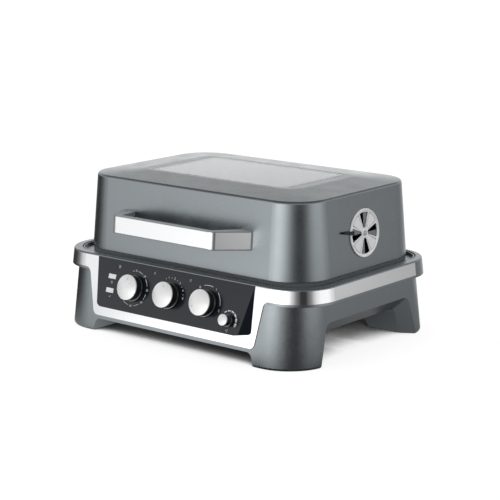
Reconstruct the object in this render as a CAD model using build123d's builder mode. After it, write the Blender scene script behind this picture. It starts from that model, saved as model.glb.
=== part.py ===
from build123d import *
import os
from math import cos, hypot, radians, sin, tan

# An electric table grill, in millimetres. +X is the right side for someone who stands in
# front of it, the front looks along -Y, and the table is at height 0. The origin is the
# point on the table under the middle of the rim.

# Running fits and gaps between pieces
RUNNING_FIT = 0.05
SEAT_GAP = 0.2
SLIDE_GAP = 0.4

# Rim, seen from above, at its lower edge
RIM_WIDTH = 520.0
RIM_DEPTH = 353.0
RIM_CORNER = 69.5
RIM_LEAN = 0.116
RIM_LOW = 97.2
RIM_TOP = 123.4
RIM_WALL = 3.5
RIM_FLOOR = 2.5
RIM_EDGE = 2.2
DECK_UNDERSIDE = 115.5
RIM_SCREW_EDGE = 29.0
RIM_SCREW_X = RIM_WIDTH / 2 - RIM_SCREW_EDGE
RIM_SCREW_Y = 60.0
RIM_SCREW_LENGTH = 14.0
RIM_BOSS_RADIUS = 5.0

# Ledge, groove, raised lip and gutter around the lid
CHANNEL_MARGIN = (15.0, 12.25)
CHANNEL_WIDTH = RIM_WIDTH - 2 * CHANNEL_MARGIN[0]
CHANNEL_DEPTH = RIM_DEPTH - 2 * CHANNEL_MARGIN[1]
CHANNEL_CORNER = 57.0
CHANNEL_Y = 2.75
GROOVE_FLOOR = 120.4
GROOVE_WIDTH = 2.4
LIP_WIDTH = 1.7
LIP_TOP = 122.7
GUTTER_FLOOR = 118.5

# Bright trim: a band round the rim and the fascia that hangs from it
TRIM_THICK = 1.2
TRIM_LOW = 100.9
TRIM_HIGH = 121.0
TRIM_REAR_Y = RIM_DEPTH / 2 - RIM_CORNER
FASCIA_FLAT_HALF = RIM_WIDTH / 2 - RIM_CORNER - 0.5
FASCIA_TOP_HALF = FASCIA_FLAT_HALF - 10.0
FASCIA_LOW_HALF = FASCIA_TOP_HALF - 14.0
FASCIA_LOW = 26.5
FASCIA_FLARE = 11.0
FASCIA_CORNER = 10.0

# Base shell under the rim
BODY_SETBACK = 18.0
BODY_WIDTH = RIM_WIDTH - 2 * BODY_SETBACK
BODY_CORNER = 62.0
BODY_LEAN = 0.085
BODY_WALL = 3.0
BELLY_LOW = 20.5
FOOT_WIDTH = 87.0
BELLY_HALF = BODY_WIDTH / 2 - FOOT_WIDTH
BELLY_FLOOR = 4.0
SHOULDER = 48.0
UPPER_FLOOR = 72.0
CAVITY_MARGIN = (20.0, 8.5)
CAVITY_WIDTH = BODY_WIDTH - 2 * CAVITY_MARGIN[0]
CAVITY_DEPTH = RIM_DEPTH - 2 * CAVITY_MARGIN[1]
CAVITY_CORNER = 55.0
FOOT_EDGE = 2.5

# Arches between the feet
FRONT_ARCH_LOW_HALF = BELLY_HALF + 12.0
FRONT_ARCH_TOP_HALF = BELLY_HALF + 5.0
FRONT_ARCH_FILLET = 10.0
SIDE_ARCH_OUTER_ENDS = (51.5, 68.5)
SIDE_ARCH_INNER_ENDS = (64.5, 78.5)
SIDE_ARCH_TOPS = (66.0, 44.0)
SIDE_ARCH_OUTER = (*(RIM_DEPTH / 2 - end for end in SIDE_ARCH_OUTER_ENDS), SIDE_ARCH_TOPS[0])
SIDE_ARCH_INNER = (*(RIM_DEPTH / 2 - end for end in SIDE_ARCH_INNER_ENDS), SIDE_ARCH_TOPS[1])
SIDE_ARCH_OUTER_X = BODY_WIDTH / 2 + 5.0
SIDE_ARCH_INNER_X = BODY_WIDTH / 2 - 17.0
SIDE_ARCH_FILLET = 15.0

# Hollow feet and their rubber pads
FOOT_POCKET_X = BODY_WIDTH / 2 - 70.0
FOOT_POCKET_Y = RIM_DEPTH / 2 - 48.5
FOOT_POCKET_TOP = 42.0
CORNER_POCKET_Y = RIM_DEPTH / 2 - 58.5
SHELL_LOW = 0.6
PAD_HEIGHT = 10.0

# Bottom cover, in a recess under the belly
COVER_MARGIN = (13.0, 5.0)
COVER_HALF_X = BELLY_HALF - COVER_MARGIN[0]
COVER_HALF_Y = RIM_DEPTH / 2 - COVER_MARGIN[1]
COVER_THICK = 1.5
COVER_LAP = 8.0
COVER_SCREW_PITCH = 100.0
COVER_SLOTS = 5
COVER_SLOT_PITCH = 6.0
COVER_SLOT_SIZE = (22.0, 3.0)

# Screws
SCREW_SHANK = 3.5
SCREW_HEAD = 7.0
SCREW_HEAD_HEIGHT = 2.2

# Control panel: a wedge whose face leans out at its foot
PANEL_MARGIN = 18.5
PANEL_TOP_HALF = FASCIA_TOP_HALF - PANEL_MARGIN
PANEL_FOOT_HALF = PANEL_TOP_HALF - 15.5
PANEL_ROOT_FOOT_HALF = PANEL_TOP_HALF - 1.5
PANEL_FOOT = 46.0
PANEL_PROUD = 0.8
PANEL_TILT = 17.0
PANEL_WALL = 2.5
PANEL_CORNER = 6.0
PANEL_FLANGE = 3.0
CONTROL_WINDOW_HALF = PANEL_TOP_HALF - 11.5
CONTROL_WINDOW_LOW = 50.0

# Dials: where their axes stand on the panel's face, across and down from its top edge
DIAL_MARGIN = 86.5
DIAL_PITCH = PANEL_TOP_HALF - DIAL_MARGIN
DIAL_DOWN = 39.5
DIAL_RADIUS = 20.0
DIAL_HEIGHT = 17.0
DIAL_DOME = 2.6
DIAL_SKIRT_RADIUS = 21.2
DIAL_SKIRT = 3.4
SMALL_DIAL_MARGIN = 37.5
SMALL_DIAL_X = PANEL_TOP_HALF - SMALL_DIAL_MARGIN
SMALL_DIAL_DOWN = 58.0
SMALL_DIAL_RADIUS = 8.6
SMALL_DIAL_HEIGHT = 15.0
SMALL_DIAL_DOME = 1.2
SMALL_DIAL_SKIRT_RADIUS = 9.6
DIAL_GAP = 0.6
DIAL_WALL = 3.0
DIAL_TOP_WALL = 2.5
CAP_SIDE = 1.8
SHAFT_BELOW_TOP = 4.0
SHAFT_FLAT = 0.35
SHAFT_DIAMETER = 6.0
SMALL_SHAFT_DIAMETER = 4.0
BUSH_WALL = 1.5
NUT_HEIGHT = 2.0
UNIT_SIZE = (40.0, 28.0, 26.0)
SMALL_UNIT_SIZE = (22.0, 20.0, 16.0)

# Indicator lenses
LAMP_MARGIN = 37.5
LAMP_X = LAMP_MARGIN - PANEL_TOP_HALF
LAMP_DOWNS = (27.6, 49.9)
LENS_SIZE = (15.6, 7.4, 3.4)
LENS_PROUD = 0.5
LAMP_DIAMETER = 6.0
LAMP_LENGTH = 14.0
LAMP_HOLDER = 2.0

# Lid: its wall at the lower edge, and its crowned top
LID_MARGIN = (25.95, 19.65)
LID_WIDTH = RIM_WIDTH - 2 * LID_MARGIN[0]
LID_DEPTH = RIM_DEPTH - 2 * LID_MARGIN[1]
LID_CORNER = 66.0
LID_Y = 5.1
LID_LEAN = 0.079
LID_LOW = 126.6
LID_CROWN = 251.8
CROWN_RISE = 5.6
LID_SHOULDER = LID_CROWN - CROWN_RISE
LID_CROWN_MARGIN = (20.0, 5.0)
LID_CROWN_CORNER = 26.0
LID_SKIN = 2.5
LID_EDGE = 4.0

# Window in the lid's top
WINDOW_MARGIN = (96.4, 76.6)
WINDOW_WIDTH = LID_WIDTH - 2 * WINDOW_MARGIN[0]
WINDOW_DEPTH = LID_DEPTH - 2 * WINDOW_MARGIN[1]
WINDOW_CORNER = 13.0
WINDOW_GLASS = 4.0
WINDOW_LEDGE = 8.0
GASKET_THICK = 1.0
WINDOW_GAP = 0.35
WINDOW_SHELF = 2.5

# Handle, in plan from the lid's front face outwards
HANDLE_DROP = 7.7
HANDLE_Z = (LID_LOW + LID_CROWN) / 2 - HANDLE_DROP
HANDLE_HEIGHT = 29.0
HANDLE_REACH = 55.5
HANDLE_FRONT_HALF = 101.0
HANDLE_ROOT_HALF = 134.5
HANDLE_ROOT_INNER_HALF = 107.0
HANDLE_BAR = 10.0
HANDLE_BAR_INNER_HALF = 92.0
HANDLE_BEND = 11.0
FACING_BORDER = 1.8
FACING_THICK = 0.8
FACING_PROUD = 0.2
FACING_END = 2.3
HANDLE_SCREW_X = 120.5

# Vent damper on the lid's right side
VENT_Y = 6.0
VENT_DROP = 7.2
VENT_Z = (LID_LOW + LID_CROWN) / 2 - VENT_DROP
VENT_RADIUS = 37.5
VENT_DISC = 1.2
VENT_GAP = 0.35
VENT_HUB_RADIUS = 5.5
VENT_OPENINGS = 4
VENT_OPENING_INNER = 8.0
VENT_OPENING_OUTER = 32.5
VENT_OPENING_ANGLE = 40.0
VENT_TWIST = 20.0
RIVET_RADIUS = 2.5
LEVER_START = 20.0
LEVER_END = 57.0
LEVER_RISE = 8.0

# Lid hinge at the rear
HINGE_BEHIND = 6.5
HINGE_Y = RIM_DEPTH / 2 + HINGE_BEHIND
HINGE_RAISED = 16.6
HINGE_Z = RIM_TOP + HINGE_RAISED
HINGE_SIDE = 130.0
HINGE_X = RIM_WIDTH / 2 - HINGE_SIDE
HINGE_BARREL = 5.5
HINGE_PIN = 5.0
HINGE_LEAF_WIDTH = 34.0
HINGE_EAR = 5.0
HINGE_PLATE = 3.0
HINGE_LEAF_TOP = HINGE_Z + 32.0
HINGE_BRACKET_LOW = RIM_LOW + 4.3
HINGE_PIN_HEAD = 4.0
HINGE_PIN_HEAD_THICK = 2.4
EAR_FOOT = (2.0, 8.0)
BRACKET_HOLE_RAISED = 12.8
BRACKET_HOLE_EDGE = 3.0
HINGE_BRACKET_MARGIN = 6.0
LEAF_HOLE_X = 11.0
LEAF_HOLE_HEIGHTS = (HINGE_Z + 12.0, HINGE_Z + 26.0)

# Cooking parts
PAN_FLANGE_INSET = 4.6
PAN_FLANGE_THICK = 1.0
PAN_WALL = 1.2
PAN_TOP_INSET = 9.8
PAN_BOTTOM = 50.0
PAN_TAPER = (38.05, 37.85)
PAN_BOTTOM_WIDTH = LID_WIDTH - 2 * PAN_TAPER[0]
PAN_BOTTOM_DEPTH = LID_DEPTH - 2 * PAN_TAPER[1]
PAN_BOTTOM_CORNER = 40.0
OPENING_INSET = 8.2
DRAIN_RADIUS = 14.0
SEAL_OUTER_INSET = 0.8
SEAL_INNER_INSET = 4.0
SEAL_TOP = 126.2
PLATE_FLANGE_INSET = 8.8
PLATE_FLANGE = 2.5
PLATE_FLANGE_CORNER = 72.0
PLATE_WALL_INSET = 13.5
PLATE_LOW = 99.0
PLATE_FLOOR = 5.0
PLATE_WALL = 3.5
PLATE_LOW_NARROWER = 8.0
RIB_PITCH = 14.0
RIB_WIDTH = 5.0
RIB_HEIGHT = 6.0
ELEMENT_DIAMETER = 7.0
ELEMENT_Z = 88.0
ELEMENT_BEND = 22.0
ELEMENT_END_X = 25.0
ELEMENT_INNER_X = 60.0
ELEMENT_OUTER_X = PAN_BOTTOM_WIDTH / 2 - 46.0
ELEMENT_START_Y = 26.5 - RIM_DEPTH / 2
ELEMENT_FAR_Y = PAN_BOTTOM_DEPTH / 2 - 29.0
ELEMENT_NEAR_Y = 40.0
REFLECTOR_Z = 74.0
REFLECTOR_MARGIN = (21.0, 19.0)
REFLECTOR_WIDTH = PAN_BOTTOM_WIDTH - 2 * REFLECTOR_MARGIN[0]
REFLECTOR_DEPTH = PAN_BOTTOM_DEPTH - 2 * REFLECTOR_MARGIN[1]
REFLECTOR_CORNER = 10.0
REFLECTOR_LEG = 4.0
REFLECTOR_LEG_INSET = 20.0
CLAMP_SIZE = (12.0, 10.0)
CLAMP_WALL = 1.2
CLAMP_YS = (10.0, 60.0)
REFLECTOR_THICK = 1.0
PROBE_Z = 94.2
PROBE_DIAMETER = 5.0
PROBE_START_Y = ELEMENT_START_Y + 23.0
PROBE_LENGTH = 80.0

# Drip tray
TRAY_MARGIN = (39.0, 72.5)
TRAY_WIDTH = 2 * (BELLY_HALF - TRAY_MARGIN[0])
TRAY_FRONT_Y = TRAY_MARGIN[1] - RIM_DEPTH / 2
TRAY_LOW = 28.6
TRAY_HIGH = 44.0
TRAY_WALL = 1.5
TRAY_CORNER = 6.0
TRAY_OPENING_MARGIN = 1.6
TRAY_OPENING_SIDE = 3.0
TRAY_PULL_LAP = 12.0
TRAY_PULL_LOW = 24.0
TRAY_PULL_HIGH = 50.0
TRAY_PULL_THICK = 3.0
PULL_HALF = 45.0
PULL_REACH = 31.9
PULL_REAR_Y = RIM_DEPTH / 2 + PULL_REACH
PULL_THICK = 3.0
PULL_HEIGHT = 15.0
RAIL_LEDGE = 8.0
RAIL_THICK = 3.0
RAIL_HEIGHT = 8.0
RAIL_REAR_Y = RIM_DEPTH / 2 - 11.5

# Blower
BLOWER_X = DIAL_PITCH / 2
BLOWER_Y = 37.5 - RIM_DEPTH / 2
BLOWER_RADIUS = 23.0
BLOWER_HIGH = 46.0
BLOWER_WALL = 1.5
RISER_X = BLOWER_X + 24.5
RISER_REAR_Y = BLOWER_Y + 18.0
RISER_WIDTH = 22.0
RISER_DEPTH = 13.0
RISER_TOP = 64.0
RISER_OUTLET = (16.0, 9.0)
IMPELLER_RADIUS = 17.0
IMPELLER_HEIGHT = 14.0
IMPELLER_BLADES = 12
MOTOR_RADIUS = 13.5
MOTOR_HEIGHT = 20.0
MOTOR_SHAFT_DIAMETER = 3.0

# Power inlet and wiring
INLET_X = -BELLY_HALF + 20.0
INLET_Z = 78.0
INLET_FLANGE = (50.0, 26.0, 3.0)
INLET_BODY = (28.0, 20.0, 24.0)
INLET_SOCKET = (23.0, 15.0, 15.0)
INLET_PINS = [(-7.0, -2.0), (0.0, 2.5), (7.0, -2.0)]
INLET_PIN_SIZE = (2.0, 4.0)
INLET_PIN_TOP = -4.0
INLET_SCREW_EDGE = 5.0
TERMINAL_X = 57.0 - BODY_WIDTH / 2
TERMINAL_Y = RIM_DEPTH / 2 - 38.5
TERMINAL_SIZE = (40.0, 16.0, 14.0)
TERMINAL_WAYS = 4
LOOM_X = 29.0 - BODY_WIDTH / 2
LOOM_Z = 56.0
LOOM_DIAMETER = 6.0
LOOM_BEND = 7.0
LOOM_ENDS = (8.0, 28.0)
LOOM_SIDE_TURNS = (26.0, 44.0)
LOOM_FRONT_TURNS = ((23.0, 34.5), (60.0, 22.5))
LOOM_LIFT = 8.0
CLIP_YS = (-60.0, 0.0, 60.0)
CLIP_SIZE = (8.0, 10.0)


class Plan:
    """A rounded rectangle seen from above, whose sides lean outward as they go down."""

    def __init__(self, width, depth, corner, height, lean_x, lean_y, centre_y=0.0):
        self.width = width
        self.depth = depth
        self.corner = corner
        self.height = height
        self.lean_x = lean_x
        self.lean_y = lean_y
        self.centre_y = centre_y

    def half_width(self, z, inset=0.0):
        return self.width / 2 + (self.height - z) * self.lean_x - inset

    def half_depth(self, z, inset=0.0):
        return self.depth / 2 + (self.height - z) * self.lean_y - inset

    def front(self, z, inset=0.0):
        return self.centre_y - self.half_depth(z, inset)

    def rear(self, z, inset=0.0):
        return self.centre_y + self.half_depth(z, inset)

    def face(self, z, inset=0.0):
        """The outline at one height, moved in by inset."""
        corner = self.corner + (self.height - z) * self.lean_x - inset
        with BuildSketch(Plane.XY.offset(z)) as outline:
            with Locations((0, self.centre_y)):
                RectangleRounded(2 * self.half_width(z, inset), 2 * self.half_depth(z, inset), corner)
        return outline.sketch.face()

    def block(self, low, high, inset=0.0, mode=Mode.ADD):
        """Adds or cuts the solid between two heights, moved in by inset."""
        loft([self.face(low, inset), self.face(high, inset)], ruled=True, mode=mode)

    def wall(self, low, high, outer, inner, mode=Mode.ADD):
        """Adds or cuts the ring between two insets."""
        with BuildPart(mode=Mode.PRIVATE) as ring:
            self.block(low, high, outer)
            self.block(low - 1.0, high + 1.0, inner, mode=Mode.SUBTRACT)
        add(ring.part, mode=mode)


RIM = Plan(RIM_WIDTH, RIM_DEPTH, RIM_CORNER, RIM_LOW, RIM_LEAN, RIM_LEAN)
BODY = Plan(BODY_WIDTH, RIM_DEPTH - 2 * TRIM_THICK, BODY_CORNER, RIM_LOW, BODY_LEAN, RIM_LEAN)
CHANNEL = Plan(CHANNEL_WIDTH, CHANNEL_DEPTH, CHANNEL_CORNER, RIM_TOP, 0.0, 0.0, CHANNEL_Y)
LID = Plan(LID_WIDTH, LID_DEPTH, LID_CORNER, LID_LOW, LID_LEAN, LID_LEAN, LID_Y)
SEAT = Plan(LID_WIDTH, LID_DEPTH, LID_CORNER, LID_LOW, 0.0, 0.0, LID_Y)


def box_between(low, high, mode=Mode.ADD):
    """Adds or cuts the box between two corners."""
    size = [b - a for a, b in zip(low, high)]
    middle = [(a + b) / 2 for a, b in zip(low, high)]
    with Locations(tuple(middle)):
        Box(*size, mode=mode)


def rod(plane, radius, low, high, mode=Mode.ADD):
    """Adds or cuts a round rod along a plane's normal, between two heights over it."""
    with BuildSketch(plane.offset(low)) as outline:
        Circle(radius)
    extrude(outline.sketch.face(), amount=high - low, mode=mode)


def slab(plane, width, height, low, high, mode=Mode.ADD, corner=0.0):
    """Adds or cuts a rectangular block along a plane's normal."""
    with BuildSketch(plane.offset(low)) as outline:
        if corner > 0:
            RectangleRounded(width, height, corner)
        else:
            Rectangle(width, height)
    extrude(outline.sketch.face(), amount=high - low, mode=mode)


def prism(plane, points, low, high, mode=Mode.ADD):
    """Adds or cuts a straight-sided outline along a plane's normal."""
    with BuildSketch(plane.offset(low)) as outline:
        with BuildLine():
            Polyline(*points, close=True)
        make_face()
    extrude(outline.sketch.face(), amount=high - low, mode=mode)


def turned(plane, points, mode=Mode.ADD):
    """Adds or cuts a profile of (radius, height) points turned about a plane's normal."""
    side = Plane(origin=plane.origin, x_dir=plane.x_dir, z_dir=plane.x_dir.cross(plane.z_dir))
    with BuildSketch(side) as profile:
        with BuildLine():
            Polyline(*points, close=True)
        make_face()
    revolve(profile.sketch.face(), axis=Axis(plane.origin, plane.z_dir), mode=mode)


def quad(z, back_half, back_y, front_half, front_y):
    """A four-sided face at one height, wide at the back and narrower at the front."""
    with BuildSketch(Plane.XY.offset(z)) as outline:
        with BuildLine():
            Polyline(
                (-back_half, back_y),
                (-front_half, front_y),
                (front_half, front_y),
                (back_half, back_y),
                close=True,
            )
        make_face()
    return outline.sketch.face()


def rounded(width, depth, corner, x, y, z):
    """A rounded rectangle at one height."""
    with BuildSketch(Plane.XY.offset(z)) as outline:
        with Locations((x, y)):
            RectangleRounded(width, depth, corner)
    return outline.sketch.face()


def upright(x, y, z):
    """A level plane at one point, with its normal up."""
    return Plane(origin=(x, y, z))


def front_plane(z):
    """The plane of the trim's front at one height: x to the right, y up the slope."""
    return Plane(origin=(0, RIM.front(z), z), x_dir=(1, 0, 0), z_dir=(0, -1, RIM_LEAN))


TRIM_SQUARE = TRIM_THICK / hypot(1.0, RIM_LEAN)  # the trim's thickness square to its leaning front


def down_slope(height):
    """Distance down the trim's leaning front for a drop in height."""
    return -height * hypot(1.0, RIM_LEAN)


panel_angle = radians(PANEL_TILT)
panel_plane = Plane(
    origin=(0, RIM.front(TRIM_HIGH) - PANEL_PROUD, TRIM_HIGH),
    x_dir=(1, 0, 0),
    z_dir=(0, -cos(panel_angle), sin(panel_angle)),
)


def panel_spot(x, down):
    """A plane on the panel's face, with its normal outwards."""
    return Plane(
        origin=panel_plane.from_local_coords((x, -down, 0)),
        x_dir=panel_plane.x_dir,
        z_dir=panel_plane.z_dir,
    )


def panel_front(z):
    """How far forward the panel's face stands at one height."""
    return panel_plane.origin.Y - (TRIM_HIGH - z) * tan(panel_angle)


def finish(part, name):
    """Labels a piece and writes it."""
    part.part.label = name
    export_step(part.part, "parts/" + name + ".step")
    print(name, "solids", len(part.part.solids()), "volume", round(part.part.volume))


class Dial:
    """One dial, the shaft that it turns and the unit behind the panel."""

    def __init__(self, name, unit_name, x, down, large=True):
        self.name = name
        self.unit_name = unit_name
        self.x = x
        self.down = down
        self.radius = DIAL_RADIUS if large else SMALL_DIAL_RADIUS
        self.height = DIAL_HEIGHT if large else SMALL_DIAL_HEIGHT
        self.dome = DIAL_DOME if large else SMALL_DIAL_DOME
        self.skirt_radius = DIAL_SKIRT_RADIUS if large else SMALL_DIAL_SKIRT_RADIUS
        self.skirt = DIAL_SKIRT
        self.shaft = SHAFT_DIAMETER if large else SMALL_SHAFT_DIAMETER
        self.bush = self.shaft / 2 + BUSH_WALL
        self.unit = UNIT_SIZE if large else SMALL_UNIT_SIZE


DIALS = [
    Dial("timer_dial", "timer_unit", -DIAL_PITCH, DIAL_DOWN),
    Dial("temperature_dial", "thermostat_unit", 0.0, DIAL_DOWN),
    Dial("function_dial", "function_switch", DIAL_PITCH, DIAL_DOWN),
    Dial("blower_dial", "blower_control", SMALL_DIAL_X, SMALL_DIAL_DOWN, large=False),
]

os.makedirs("parts", exist_ok=True)

# Bright trim. The blank is cut from the rim before the control panel's opening is made.

with BuildPart() as trim_blank:
    RIM.wall(TRIM_LOW, TRIM_HIGH, 0.0, TRIM_THICK)
    behind = (-RIM_WIDTH, TRIM_REAR_Y, TRIM_LOW - 1), (RIM_WIDTH, RIM_DEPTH, TRIM_HIGH + 1)
    box_between(*behind, Mode.SUBTRACT)
    with BuildSketch(front_plane(TRIM_LOW)) as fascia_outline:
        fascia_foot = down_slope(TRIM_LOW - FASCIA_LOW)
        with BuildLine():
            Polyline(
                (-FASCIA_FLAT_HALF, 4.0),
                (-FASCIA_FLAT_HALF, 0.0),
                (-FASCIA_TOP_HALF, 0.0),
                (-FASCIA_LOW_HALF, fascia_foot),
                (FASCIA_LOW_HALF, fascia_foot),
                (FASCIA_TOP_HALF, 0.0),
                (FASCIA_FLAT_HALF, 0.0),
                (FASCIA_FLAT_HALF, 4.0),
                close=True,
            )
        make_face()
        fillet(fascia_outline.vertices().group_by(Axis.Y)[0], FASCIA_CORNER)
        flares = fascia_outline.vertices().filter_by(lambda v: abs(abs(v.X) - FASCIA_TOP_HALF) < 0.1)
        fillet(flares, FASCIA_FLARE)
    extrude(amount=-TRIM_SQUARE)

with BuildPart() as trim_band:
    add(trim_blank.part)
    panel_cut = [
        (-PANEL_TOP_HALF + PANEL_FLANGE, 3.0),
        (-PANEL_ROOT_FOOT_HALF + PANEL_FLANGE, down_slope(TRIM_HIGH - PANEL_FOOT - PANEL_FLANGE)),
        (PANEL_ROOT_FOOT_HALF - PANEL_FLANGE, down_slope(TRIM_HIGH - PANEL_FOOT - PANEL_FLANGE)),
        (PANEL_TOP_HALF - PANEL_FLANGE, 3.0),
    ]
    prism(front_plane(TRIM_HIGH), panel_cut, -2 * TRIM_THICK, TRIM_THICK, Mode.SUBTRACT)
finish(trim_band, "trim_band")

# Rim frame: a channel that is open to the inside, with the ledge and gutter on its deck.

RIM_SCREWS = [(x * RIM_SCREW_X, y * RIM_SCREW_Y) for x in (-1, 1) for y in (-1, 1)]

with BuildPart() as rim_frame:
    RIM.block(RIM_LOW, RIM_TOP)
    fillet(rim_frame.edges().group_by(Axis.Z)[-1], RIM_EDGE)
    SEAT.block(RIM_LOW - 1, RIM_TOP + 1, OPENING_INSET, mode=Mode.SUBTRACT)
    RIM.block(RIM_LOW + RIM_FLOOR, DECK_UNDERSIDE, RIM_WALL, mode=Mode.SUBTRACT)
    CHANNEL.wall(GROOVE_FLOOR, RIM_TOP + 1, 0.0, GROOVE_WIDTH, mode=Mode.SUBTRACT)
    CHANNEL.block(LIP_TOP, RIM_TOP + 1, GROOVE_WIDTH - 0.1, mode=Mode.SUBTRACT)
    CHANNEL.block(GUTTER_FLOOR, RIM_TOP + 1, GROOVE_WIDTH + LIP_WIDTH, mode=Mode.SUBTRACT)
    add(trim_blank.part, mode=Mode.SUBTRACT)
    for x, y in RIM_SCREWS:
        rod(upright(x, y, RIM_LOW), SCREW_SHANK / 2, -1, RIM_FLOOR + 1, Mode.SUBTRACT)
finish(rim_frame, "rim_frame")

# Base shell: leaning walls, a belly between the feet, and an arch on each side.

COVER_SCREWS = [
    (x * (COVER_HALF_X - COVER_LAP / 2), y * COVER_SCREW_PITCH) for x in (-1, 1) for y in (-1, 0, 1)
]
inlet_plane = Plane(
    origin=(INLET_X, BODY.rear(INLET_Z), INLET_Z), x_dir=(-1, 0, 0), z_dir=(0, 1, RIM_LEAN)
)


def arch_face(x, low_half, top_half, top):
    """A side arch's outline at one place across the width."""
    with BuildSketch(Plane.YZ.offset(x)) as outline:
        with BuildLine():
            Polyline((-low_half, -1.0), (-top_half, top), (top_half, top), (low_half, -1.0), close=True)
        make_face()
        fillet(outline.vertices().group_by(Axis.Y)[-1], SIDE_ARCH_FILLET)
    return outline.sketch.face()


def corner_block(low, high, inset, near_x, near_y, mode):
    """Adds or cuts the four corners of the body, beyond near_x and near_y."""
    for side in (-1, 1):
        for end in (-1, 1):
            with BuildPart(mode=Mode.PRIVATE) as corner:
                BODY.block(low, high, inset)
                xs = sorted((side * near_x, side * RIM_WIDTH))
                ys = sorted((end * near_y, end * RIM_DEPTH))
                box_between((xs[0], ys[0], low - 1), (xs[1], ys[1], high + 1), Mode.INTERSECT)
            add(corner.part, mode=mode)


with BuildPart() as belly_hollow:
    BODY.block(BELLY_LOW + BELLY_FLOOR, UPPER_FLOOR + 1, BODY_WALL)
    half = BELLY_HALF - BODY_WALL
    box_between((-half, -RIM_DEPTH, 0), (half, RIM_DEPTH, RIM_LOW), Mode.INTERSECT)

with BuildPart() as base_shell:
    BODY.block(SHELL_LOW, RIM_LOW)
    fillet(base_shell.edges().group_by(Axis.Z)[0], FOOT_EDGE)
    with BuildSketch(Plane.XZ) as front_arch:
        with BuildLine():
            Polyline(
                (-FRONT_ARCH_LOW_HALF, -1.0),
                (-FRONT_ARCH_TOP_HALF, BELLY_LOW),
                (FRONT_ARCH_TOP_HALF, BELLY_LOW),
                (FRONT_ARCH_LOW_HALF, -1.0),
                close=True,
            )
        make_face()
        fillet(front_arch.vertices().group_by(Axis.Y)[-1], FRONT_ARCH_FILLET)
    extrude(amount=RIM_DEPTH, both=True, mode=Mode.SUBTRACT)
    reach = (SIDE_ARCH_OUTER_X - SIDE_ARCH_INNER_X) * 2
    outer = [2 * b - a for a, b in zip(SIDE_ARCH_INNER, SIDE_ARCH_OUTER)]
    for side in (-1, 1):
        inner_face = arch_face(side * SIDE_ARCH_INNER_X, *SIDE_ARCH_INNER)
        outer_face = arch_face(side * (SIDE_ARCH_INNER_X + reach), *outer)
        loft([inner_face, outer_face], ruled=True, mode=Mode.SUBTRACT)
        loft([arch_face(side * BELLY_HALF, *SIDE_ARCH_INNER), inner_face], ruled=True, mode=Mode.SUBTRACT)
    corner_block(-1, FOOT_POCKET_TOP, BODY_WALL, FOOT_POCKET_X, FOOT_POCKET_Y, Mode.SUBTRACT)
    corner_block(SHOULDER, UPPER_FLOOR + 1, BODY_WALL, 0, CORNER_POCKET_Y, Mode.SUBTRACT)
    add(belly_hollow.part, mode=Mode.SUBTRACT)
    slab(Plane.XY, CAVITY_WIDTH, CAVITY_DEPTH, SHOULDER, UPPER_FLOOR + 1, Mode.SUBTRACT, CAVITY_CORNER)
    BODY.block(UPPER_FLOOR, RIM_LOW + 1, BODY_WALL, mode=Mode.SUBTRACT)
    box_between(
        (-CONTROL_WINDOW_HALF, BODY.front(0) - 2, CONTROL_WINDOW_LOW),
        (CONTROL_WINDOW_HALF, -CAVITY_DEPTH / 2, RIM_LOW + 1),
        Mode.SUBTRACT,
    )
    half = TRAY_WIDTH / 2 + TRAY_OPENING_SIDE
    box_between(
        (-half, CAVITY_DEPTH / 2, TRAY_LOW - TRAY_OPENING_MARGIN),
        (half, BODY.rear(0) + 2, TRAY_HIGH + TRAY_OPENING_MARGIN),
        Mode.SUBTRACT,
    )
    inlet_hole = (INLET_BODY[0] + 2 * SEAT_GAP, INLET_BODY[1] + 2 * SEAT_GAP)
    slab(inlet_plane, *inlet_hole, -INLET_BODY[2] / 2, 2, Mode.SUBTRACT)
    recess = (2 * (COVER_HALF_X + SEAT_GAP), 2 * (COVER_HALF_Y + SEAT_GAP))
    slab(Plane.XY, *recess, 0, BELLY_LOW + COVER_THICK, Mode.SUBTRACT)
    hatch = (2 * (COVER_HALF_X - COVER_LAP), 2 * (COVER_HALF_Y - COVER_LAP))
    slab(Plane.XY, *hatch, 0, BELLY_LOW + BELLY_FLOOR + 1, Mode.SUBTRACT)
    for x, y in RIM_SCREWS:
        rod(upright(x, y, UPPER_FLOOR), RIM_BOSS_RADIUS, 0, RIM_LOW - UPPER_FLOOR)
        rod(upright(x, y, UPPER_FLOOR), SCREW_SHANK / 2, 4, RIM_LOW - UPPER_FLOOR + 1, Mode.SUBTRACT)
    for x, y in COVER_SCREWS:
        rod(upright(x, y, BELLY_LOW), SCREW_SHANK / 2, -1, BELLY_FLOOR + 1, Mode.SUBTRACT)
finish(base_shell, "base_shell")

with BuildPart() as bottom_cover:
    slab(Plane.XY, 2 * COVER_HALF_X, 2 * COVER_HALF_Y, BELLY_LOW, BELLY_LOW + COVER_THICK)
    for x, y in COVER_SCREWS:
        rod(upright(x, y, BELLY_LOW), SCREW_SHANK / 2, -1, BELLY_FLOOR, Mode.SUBTRACT)
    for row in range(COVER_SLOTS):
        slot = upright(BLOWER_X, BLOWER_Y + COVER_SLOT_PITCH * (row - (COVER_SLOTS - 1) / 2), BELLY_LOW)
        slab(slot, *COVER_SLOT_SIZE, -1, COVER_THICK + 1, Mode.SUBTRACT)
finish(bottom_cover, "bottom_cover")

with BuildPart() as cover_screws:
    for x, y in COVER_SCREWS:
        rod(upright(x, y, BELLY_LOW), SCREW_SHANK / 2, 0, BELLY_FLOOR)
        rod(upright(x, y, BELLY_LOW), SCREW_HEAD / 2, -SCREW_HEAD_HEIGHT, 0)
finish(cover_screws, "cover_screws")

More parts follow.
